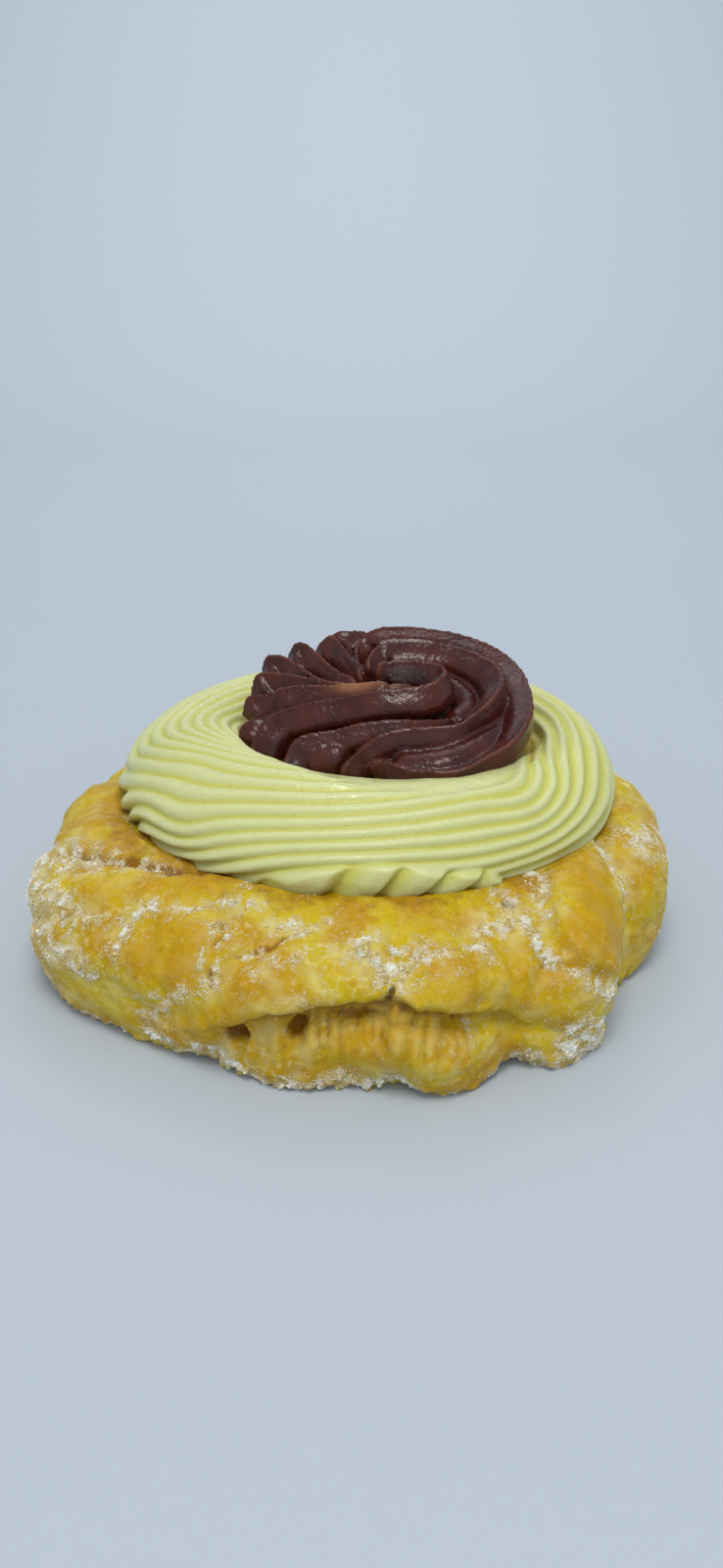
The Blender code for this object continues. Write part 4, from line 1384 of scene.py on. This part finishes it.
@dataclass
class ChocolateRosette:
    """The rosette: ridges round low cores, grown together by a voxel remesh."""

    # Centre and radii of the low domes under the turns and under the petals
    cores: Keys = field(default_factory=lambda: [
        (7.0, -1.5, 31.0, 18.0, 14.5, 6.6), (-4.5, 4.0, 33.0, 12.0, 11.5, 5.4),
        (-9.0, -2.5, 32.0, 8.5, 7.0, 5.0),
    ])
    pole: Array = field(default_factory=lambda: np.array([6.5, -7.0, 22.0]))
    voxel: float = 0.29
    # How thick a ridge's very end is, as a share of its girth
    blunt: float = 0.03
    # How much the crests and grooves are deepened after the ridges have grown together
    sharpening: float = 0.9
    # How often places are averaged: to smooth the skin, for the masks and for the sharpening
    skin_rounds: int = 3
    near_rounds: int = 12
    far_rounds: int = 30
    # Middle and radii of the dry tail and of the painted shade in the eye inside the first turn
    tail: Keys = field(default_factory=lambda: [(2, -4.2, 42.4), (6, 3, 3)])
    eye: Keys = field(default_factory=lambda: [(9, -0.8, 41), (5.5, 2.4, 3.4)])
    ridges: list[Ridge] = field(default_factory=lambda: [
        # The four turns, from the innermost out
        Ridge([(-16.6, -10.5, 31), (-15.8, -9.3, 33.6), (-15, -8.5, 35.2), (-13.4, -7.5, 36.9),
               (-11.7, -7, 38.3), (-6.3, -7.5, 40), (-2.4, -8, 40.9), (4.9, -9, 42.7),
               (9.2, -9, 43.1), (11.9, -8.5, 43.4), (13.8, -7.5, 43.8), (15, -5.5, 44.2),
               (14.9, -3, 44.3)], 2.3, 3.5, 0.6),
        Ridge([(15, -5.5, 44.2), (14.9, -3, 44.3), (13.8, -0.8, 44.2), (11.4, 0.4, 44.3),
               (8.3, 0.9, 44), (5.3, 0.5, 43.9), (3.9, -1.1, 43.4)], 1.6, 4.2, 0.3),
        Ridge([(-11.4, -16, 31), (-10.2, -14.5, 33.4), (-9.1, -13.3, 35.4), (-7.5, -12.7, 36.4),
               (-4.9, -12.6, 37), (-2.2, -12.6, 37.5), (1.1, -12.6, 38.4), (4.5, -12.7, 39),
               (7.9, -12.6, 39.1), (11.3, -12, 38.8), (14.7, -10.7, 38.4), (17, -8.5, 38)],
              2.2, 3.0, 0.4),
        Ridge([(15, -9.8, 38.8), (17.6, -7.8, 38.9), (19.4, -5, 39.1), (19.9, -2, 39.5),
               (19, 1.2, 40), (16.6, 4, 40.6), (12.5, 5, 41), (8, 5.2, 41)], 3.0, 3.2, 0.2, 1.0),
        Ridge([(-2.4, -17.6, 31.4), (-0.8, -16.9, 33.4), (0.6, -16.4, 34.9), (2, -16.3, 36.2),
               (4.1, -16, 37.7), (6.4, -15.7, 38.5), (9.4, -15.4, 38.9), (16.2, -14.9, 39.3),
               (18.9, -13.3, 40.1), (21.4, -11, 41.2), (23.3, -8, 42.1), (24.3, -4.5, 42.9),
               (23.8, -0.5, 43.6), (21.7, 3.5, 43.9), (18.3, 6.5, 44.3), (13.8, 8, 44.5),
               (9.3, 8.7, 44.6), (5.8, 8.7, 44.3), (4, 7.5, 43.8), (2.9, 5, 43),
               (2.7, 2.5, 42.4)], 2.1, 3.6, 0.5),
        Ridge([(1.6, -17, 31.6), (3, -17.8, 33.6), (4.6, -18.8, 34.7), (6, -20, 35.2),
               (7.6, -21.2, 35.1), (9.6, -21.8, 34.8), (11.7, -22.4, 34.9), (14.2, -22.9, 35),
               (16.8, -22.6, 35.2), (18.9, -21.6, 35.6), (20.9, -20.3, 36.2), (23.6, -18.7, 37),
               (25.6, -17, 37.8), (27.3, -14, 38.6), (28.5, -10.5, 39.5), (29, -6.5, 40.1),
               (29, -2, 40.6), (28.2, 3, 41.6), (26.2, 7, 42.7), (22.5, 10, 44),
               (17.8, 12, 44.9), (12.8, 12.6, 45.6), (8.6, 12.8, 45.8), (5.2, 12.8, 45.6),
               (2.7, 12.3, 44.9), (1.2, 11, 43.9), (0.7, 8.5, 43), (1.2, 5.5, 42.1),
               (2.5, 3, 41.7)], 2.4, 3.7, 0.6),
        # The full faces under the second turn's start and behind the last turn's edge
        Ridge([(-9, -13.4, 33), (-7, -13.8, 34.4), (-4.6, -14.2, 35), (-2.2, -14.6, 35.2),
               (0.4, -15, 34.9)], 2.9, 2.8, 0.9, 1.3),
        Ridge([(5, -17.8, 34.2), (8, -18.8, 35.2), (11, -19.8, 35.6), (15, -20, 36),
               (18.8, -18.4, 36.4), (22.4, -15, 37), (25.1, -11, 37.4), (26.4, -6.5, 37.6),
               (26.4, -1, 37.6)], 3.3, 3.0, 0.6, 1.0),
        # The rim under the last turn, with its hidden back
        Ridge([(19.4, -19, 33.4), (21.9, -19.4, 34.1), (24, -18, 34.6), (25.8, -15.2, 35),
               (27.6, -10, 35.6), (28.4, -3, 36), (26.4, 5, 37), (21, 10.5, 38), (13, 14, 39),
               (4, 16, 39.5), (-4, 15.5, 39), (-10, 12.5, 38)], 2.8, 4.0, 0.8),
        # Petals, from the back round the left to the front foot
        Ridge([(-4.8, 16.8, 38.5), (-4.2, 16.6, 41.8), (-2.8, 16.5, 43.5), (-0.7, 16.5, 43.8),
               (1.9, 15.8, 43.9), (4, 14, 43.4)], 1.9, 4.0, 0.4),
        Ridge([(-2, 15.5, 43.3), (-0.9, 13.5, 42.8), (0.2, 9.5, 42.2), (1.3, 6, 41.5),
               (2, 3.5, 40.8)], 1.5, 3.6, 0.4),
        Ridge([(-7.4, 15, 36.5), (-6.6, 14.8, 40), (-5.3, 14.5, 42.6), (-3.7, 14.2, 43.8),
               (-2.4, 12, 43.5), (-0.6, 8, 42.6), (0.9, 4.5, 41.6), (2, 1.5, 40.8)],
              2.0, 4.2, 0.4),
        Ridge([(-12, 13.4, 35.5), (-11.3, 13.1, 39), (-10.3, 12.7, 42), (-9, 12.2, 43.2),
               (-7.6, 11, 43.1), (-5.6, 8, 42.4), (-3.5, 5, 41.6), (-1.4, 2, 41.3),
               (1.1, -1.5, 41.5)], 2.0, 4.2, 0.4),
        Ridge([(-16, 9.8, 35), (-15.5, 9.6, 38.4), (-14.8, 9.4, 41.1), (-13.6, 9.2, 42),
               (-11.6, 8, 42.2), (-9.2, 5.5, 41.7), (-6.2, 2, 41), (-3.3, -1, 41.2)],
              1.9, 4.2, 0.4),
        Ridge([(-17, 4.3, 35), (-16.7, 4.2, 38), (-16, 4.2, 40), (-14.5, 4.2, 40.7),
               (-10.7, 2.5, 41.1), (-6.6, 0, 41.3), (-2.5, -2.5, 41.6), (1.9, -4.8, 42.3),
               (5.4, -5.5, 42.9)], 1.6, 3.8, 0.5),
        Ridge([(-13.6, -3.4, 34.5), (-13.1, -3, 37.8), (-12.5, -2.7, 39.6), (-11.4, -2.6, 40.5),
               (-8.8, -3, 41.1), (-4.5, -4, 41.6), (-0.5, -5.2, 41.9), (2.6, -6, 42.3)],
              2.2, 3.8, 0.5),
        Ridge([(-18.2, 0.8, 33), (-18, 1, 35.6), (-17.3, 1.1, 37.3), (-16, 1, 37.9),
               (-13.3, 0.3, 38.5), (-10.6, -1, 39.2)], 1.9, 3.4, 0.5),
        Ridge([(-18.8, -5.2, 32), (-18, -4.8, 34.3), (-16.9, -4.5, 35.4), (-15.4, -4.5, 35.9),
               (-12, -4.5, 36)], 1.9, 3.0, 0.5),
        # The smeared tail and the stump inside the first turn
        Ridge([(-3, -4, 41.8), (1, -5.2, 42.3), (4, -6, 42.9), (6.2, -6.4, 43)], 1.5, 1.6),
        Ridge([(4.2, -5, 41.2), (6, -4.6, 41.6), (8, -4.2, 41.7), (10.5, -4, 41.2)],
              1.4, 2.4, 0.3, 1.2),
    ])

    def tube(self, ridge: Ridge, rings: int = 110, sides: int = 32) -> Array:
        """A tube of lens-shaped section, sharp at the crest, which leans out from the pole.

        Across, the section is the sine of the angle round it, raised to the ridge's sharpness.

        Args:
            ridge: the ridge that it makes.
            rings: how many rings it has along the crest.
            sides: how many corners each ring has.

        Returns:
            (rings + 2, sides, 3) in millimetres, with a single point at each end.
        """
        path = spline(ridge.crest, rings)
        forward = np.gradient(path, axis=0)
        forward /= np.linalg.norm(forward, axis=1, keepdims=True)
        outward = (path - self.pole) * np.array([ridge.lean, ridge.lean, 1.0])
        outward -= (outward * forward).sum(axis=1, keepdims=True) * forward
        outward /= np.linalg.norm(outward, axis=1, keepdims=True)
        sideways = np.cross(forward, outward)
        length = np.linalg.norm(np.diff(path, axis=0), axis=1).sum()
        to_end = np.minimum(np.linspace(0, length, rings), np.linspace(length, 0, rings))[:, None]
        girth = np.clip(1 - (1 - np.clip(to_end / ridge.half_width, 0, 1)) ** 2, 0, 1) ** 0.5
        girth = (1 - self.blunt) * girth + self.blunt
        around = np.linspace(0, 2 * np.pi, sides, endpoint=False)
        lens = np.sign(np.sin(around)) * np.abs(np.sin(around)) ** ridge.sharpness
        ring = (
            np.cos(around)[:, None] * outward[:, None] * ridge.half_depth
            + lens[:, None] * sideways[:, None] * ridge.half_width
        )
        middle = path - outward * ridge.half_depth
        body = middle[:, None] + ring * girth[..., None]
        ends = [np.repeat(middle[k : k + 1, None], sides, axis=1) for k in (0, rings - 1)]
        return np.concatenate([ends[0], body, ends[1]])

    def core(self, sizes: tuple[float, ...], rings: int = 24, sides: int = 60) -> Array:
        """A low dome that ridges stand on.

        Args:
            sizes: its centre and its radii.
            rings: how many rings it has from pole to pole.
            sides: how many corners each ring has.

        Returns:
            (rings, sides, 3) in millimetres.
        """
        turn, tilt = np.meshgrid(
            np.linspace(0, 2 * np.pi, sides, endpoint=False),
            np.linspace(-np.pi / 2, np.pi / 2, rings),
        )
        ball = np.stack(
            [np.cos(tilt) * np.cos(turn), np.cos(tilt) * np.sin(turn), np.sin(tilt)], axis=-1
        )
        return np.array(sizes[:3]) + ball * np.array(sizes[3:])

    def joined(self, material: bpy.types.Material) -> bpy.types.Object:
        """All cores and ridges in one object, still running through each other.

        Args:
            material: what the rosette is made of.

        Returns:
            The object.
        """
        points, quads, poles, start = [], [], [], 0
        for shell in [*map(self.core, self.cores), *map(self.tube, self.ridges)]:
            some_points, some_quads, some_poles = closed_shell(shell)
            points.append(some_points)
            quads.append(some_quads + start)
            poles.append(some_poles + start)
            start += len(some_points)
        faces = [np.vstack(quads), np.vstack(poles)]
        return new_piece("chocolate_swirl", np.vstack(points), faces, material)

    def grow_together(self, piece: bpy.types.Object) -> bpy.types.Mesh:
        """Makes one skin of a piece by a voxel remesh, and smooths it.

        Args:
            piece: the object, which takes the new mesh.

        Returns:
            The new mesh.
        """
        remesh = piece.modifiers.new("one_body", "REMESH")
        remesh.mode = "VOXEL"
        remesh.voxel_size = self.voxel * MM
        remesh.use_smooth_shade = True
        soften = piece.modifiers.new("soften", "SMOOTH")
        soften.factor = 0.5
        soften.iterations = 2
        graph = bpy.context.evaluated_depsgraph_get()
        mesh = bpy.data.meshes.new_from_object(piece.evaluated_get(graph))
        piece.modifiers.clear()
        piece.data = mesh
        return mesh

    def averaged(self, mesh: bpy.types.Mesh, place: Array, rounds: int) -> Array:
        """Averages each point's place again and again with those of its neighbours.

        Args:
            mesh: the mesh whose edges say which points are neighbours.
            place: (n, 3), where the points are.
            rounds: how many times they are averaged.

        Returns:
            (n, 3), the averaged places.
        """
        one, other = read(mesh.edges, "vertices", 2, np.int32).T
        count = len(place)
        starts, ends = np.concatenate([one, other]), np.concatenate([other, one])
        neighbours = np.maximum(np.bincount(starts, minlength=count), 1)
        mean = place
        for _ in range(rounds):
            sums = [np.bincount(starts, mean[ends, axis], count) for axis in range(3)]
            mean = 0.5 * mean + 0.5 * np.stack(sums, axis=-1) / neighbours[:, None]
        return mean

    def build(self, finish: ChocolateCream) -> bpy.types.Object:
        """Joins the cores and the ridges, sharpens their crests and roughens the skin a little.

        A point moves away from its widely averaged place, which deepens grooves and lifts
        crests. How far it lies below its closely averaged place makes the masks of painted
        shade in grooves and of a painted highlight on crests.

        Args:
            finish: what the rosette is made of.

        Returns:
            The rosette's object.
        """
        piece = self.joined(finish.material())
        mesh = self.grow_together(piece)
        normal = read(mesh.vertices, "normal", 3, np.float32)
        place = read(mesh.vertices, "co", 3, np.float32) / MM
        place = self.averaged(mesh, place, self.skin_rounds)
        near = self.averaged(mesh, place, self.near_rounds)
        far = self.averaged(mesh, near, self.far_rounds)
        sunken = ((near - place) * normal).sum(axis=1)
        depth = self.sharpening * ((far - place) * normal).sum(axis=1)
        rough = 0.02 * layered(place, 1.2, 61, 2) + 0.08 * lumps(place, 4.0, 62)
        moved = place + normal * (rough - depth)[:, None]
        mesh.vertices.foreach_set("co", (moved * MM).astype(np.float32).ravel())
        tail, eye = (
            np.linalg.norm((place - np.array(middle)) / np.array(radii), axis=1)
            for middle, radii in (self.tail, self.eye)
        )
        # Painted shade in the grooves and in the eye, and a painted orange highlight along the
        # crests
        groove_shade = smoothstep(0.03, 0.3, sunken)
        add_masks(mesh, {
            "dry": 0.7 * (1 - smoothstep(0.3, 1.3, tail)),
            "groove": np.maximum(groove_shade, 0.6 * (1 - smoothstep(0.6, 1.1, eye))),
            "crest": 0.55 * smoothstep(0.05, 0.25, -sunken),
        })
        mesh.shade_smooth()
        mount(piece, Slot.CHOCOLATE, "chocolate_rosette")
        return piece


# --- Sugar ---------------------------------------------------------------------------------


@dataclass
class SugarCoat:
    """Loose grains on the crust, thickest where its dust mask is over a threshold."""

    name: str
    count: int
    smallest: float
    largest: float
    threshold: float
    seed: int
    # The crust's lowest part, which stays free of grains
    free_height: float = 0.3
    # How far a grain's middle is out of the crust, as a share of its size
    standing_out: float = 0.3
    # The shortest and the longest half axis of a grain, as shares of its size
    shortest: float = 0.7
    longest: float = 1.1

    def strewn(self, crust: bpy.types.Object, rng: np.random.Generator) -> tuple[Array, Array]:
        """Random places on the crust.

        Args:
            crust: the bun's object, with its dust mask.
            rng: what the places are drawn from.

        Returns:
            The places in millimetres and the unit normals there, each (count, 3).
        """
        mesh = crust.data
        mesh.calc_loop_triangles()
        corners = read(mesh.loop_triangles, "vertices", 3, np.int32)
        place = read(mesh.vertices, "co", 3, np.float32) / MM
        dust = read(mesh.attributes["dust"].data, "value", 1, np.float32)[:, 0]
        a, b, c = (place[corners[:, k]] for k in range(3))
        cross = np.cross(b - a, c - a)
        area = np.linalg.norm(cross, axis=1) / 2
        wanted = np.clip(dust[corners].mean(axis=1) - self.threshold, 0, None) ** 1.5
        wanted *= area * (a[:, 2] > self.free_height)
        chosen = rng.choice(len(area), self.count, p=wanted / wanted.sum())
        u, v = rng.random((2, self.count, 1))
        folded = u + v > 1
        u, v = np.where(folded, 1 - u, u), np.where(folded, 1 - v, v)
        spot = a[chosen] + u * (b - a)[chosen] + v * (c - a)[chosen]
        return spot, cross[chosen] / np.maximum(2 * area[chosen], TINY)[:, None]

    def build(self, crust: bpy.types.Object, finish: CasterSugar) -> bpy.types.Object:
        """Joined octahedra, each stretched and turned by chance and partly sunk in the crust.

        Args:
            crust: the bun's object, with its dust mask.
            finish: what the grains are made of.

        Returns:
            The grains' object.
        """
        rng = np.random.default_rng(self.seed)
        spot, outward = self.strewn(crust, rng)
        size = self.smallest + (self.largest - self.smallest) * rng.random((self.count, 1)) ** 2
        spot = spot + outward * size * self.standing_out
        tips = np.stack([np.eye(3), -np.eye(3)], axis=1).reshape(-1, 3)
        turns = np.linalg.qr(rng.normal(size=(self.count, 3, 3)))[0]
        turns *= np.sign(np.linalg.det(turns))[:, None, None]
        lengths = rng.uniform(self.shortest, self.longest, (self.count, 1, 3)) * size[:, None]
        grains = (tips * lengths) @ turns + spot[:, None]
        sides = np.array([
            (0, 2, 4), (2, 1, 4), (1, 3, 4), (3, 0, 4), (2, 0, 5), (1, 2, 5), (3, 1, 5), (0, 3, 5),
        ])
        faces = (sides + len(tips) * np.arange(self.count)[:, None, None]).reshape(-1, 3)
        piece = new_piece(self.name, grains.reshape(-1, 3), [faces], finish.material())
        piece.data.shade_flat()
        mount(piece, Slot.CRUST)
        return piece


# --- The studio ----------------------------------------------------------------------------


@dataclass(frozen=True)
class Lamp:
    """A square area light: place, aim and size in metres, and power in watts."""

    name: str
    place: tuple[float, float, float]
    aim: tuple[float, float, float]
    size: float
    power: float
    colour: str

    def build(self) -> None:
        """Adds the light, turned to face its aim."""
        lamp = bpy.data.lights.new(self.name, "AREA")
        lamp.size = self.size
        lamp.energy = self.power
        lamp.color = linear(self.colour)[:3]
        holder = bpy.data.objects.new(self.name, lamp)
        holder.location = self.place
        way = Vector(self.aim) - Vector(self.place)
        holder.rotation_euler = way.to_track_quat("-Z", "Y").to_euler()
        bpy.context.scene.collection.objects.link(holder)


@dataclass
class Studio:
    """Floor and backdrop in one sweep, soft light from above, and the camera."""

    board: PaleBoard = PaleBoard()
    # The sweep: half width, front edge, where the floor starts to bend up, radius of the bend
    # and height of the wall
    half_width: float = 1500.0
    front: float = -900.0
    bend_start: float = 420.0
    bend: float = 260.0
    top: float = 1200.0
    bend_steps: int = 24
    lamps: tuple[Lamp, ...] = (
        Lamp("overhead", (0.0, -0.26, 0.6), (0, 0, 0.02), 0.22, 2.0, "#FFFDF8"),
        Lamp("front_fill", (0.1, -0.9, 0.5), (0, 0, 0.02), 0.8, 0.6, "#F2F6FF"),
        Lamp("backdrop_wash", (0.0, 0.38, 0.55), (0, 0.68, 0.14), 0.3, 1.3, "#FFFFFF"),
    )
    sky: str = "#E6EEF8"
    sky_strength: float = 0.76
    # The camera: place in metres, degrees that it looks down, and lens and film in millimetres
    camera_place: tuple[float, float, float] = (0.0017, -0.196, 0.1155)
    camera_pitch: float = 25.5
    focal_length: float = 29.25
    film: float = 36.0

    def sweep(self) -> None:
        """A floor that curves up into a wall behind the object, as one sheet."""
        turn = np.linspace(0, np.pi / 2, self.bend_steps)
        away = self.bend_start + self.bend * np.sin(turn)
        up = self.bend * (1 - np.cos(turn))
        back = self.bend_start + self.bend
        profile = np.vstack([(self.front, 0.0), np.column_stack([away, up]), (back, self.top)])
        count = len(profile)
        left, right = (
            np.column_stack([np.full(count, x), profile])
            for x in (-self.half_width, self.half_width)
        )
        rows = np.arange(count - 1)
        quads = np.stack([rows, rows + count, rows + count + 1, rows + 1], axis=-1)
        floor = new_piece("backdrop", np.vstack([left, right]), [quads], self.board.material())

    def camera(self) -> None:
        """A level camera that looks down on the object from the front."""
        lens = bpy.data.cameras.new("camera")
        lens.lens = self.focal_length
        lens.sensor_width = self.film
        lens.clip_start = 0.01
        holder = bpy.data.objects.new("camera", lens)
        holder.location = self.camera_place
        holder.rotation_euler = (np.radians(90 - self.camera_pitch), 0, 0)
        bpy.context.scene.collection.objects.link(holder)
        bpy.context.scene.camera = holder

    def build(self) -> None:
        """Sets up everything that isn't part of the object."""
        self.sweep()
        for lamp in self.lamps:
            lamp.build()
        world = bpy.data.worlds.new("soft_room")
        world.use_nodes = True
        sky = world.node_tree.nodes["Background"]
        sky.inputs["Color"].default_value = linear(self.sky)
        sky.inputs["Strength"].default_value = self.sky_strength
        bpy.context.scene.world = world
        bpy.context.scene.view_settings.view_transform = "Standard"
        self.camera()


# --- The whole -----------------------------------------------------------------------------


def main() -> None:
    """Builds the sub-assemblies in order."""
    logging.basicConfig(level=logging.INFO, format="%(name)s: %(message)s")
    custard = CustardSwirl()
    crust = Bun().build(custard, FriedCrust())
    custard.build(PipedCustard())
    ChocolateRosette().build(ChocolateCream())
    sugar = CasterSugar()
    SugarCoat("sugar_dust", 22000, 0.06, 0.14, 0.05, 73).build(crust, sugar)
    SugarCoat("sugar_grains", 16000, 0.10, 0.22, 0.2, 71).build(crust, sugar)
    SugarCoat("sugar_clumps", 8000, 0.18, 0.42, 0.5, 72).build(crust, sugar)
    Studio().build()


if __name__ == "__main__":
    main()
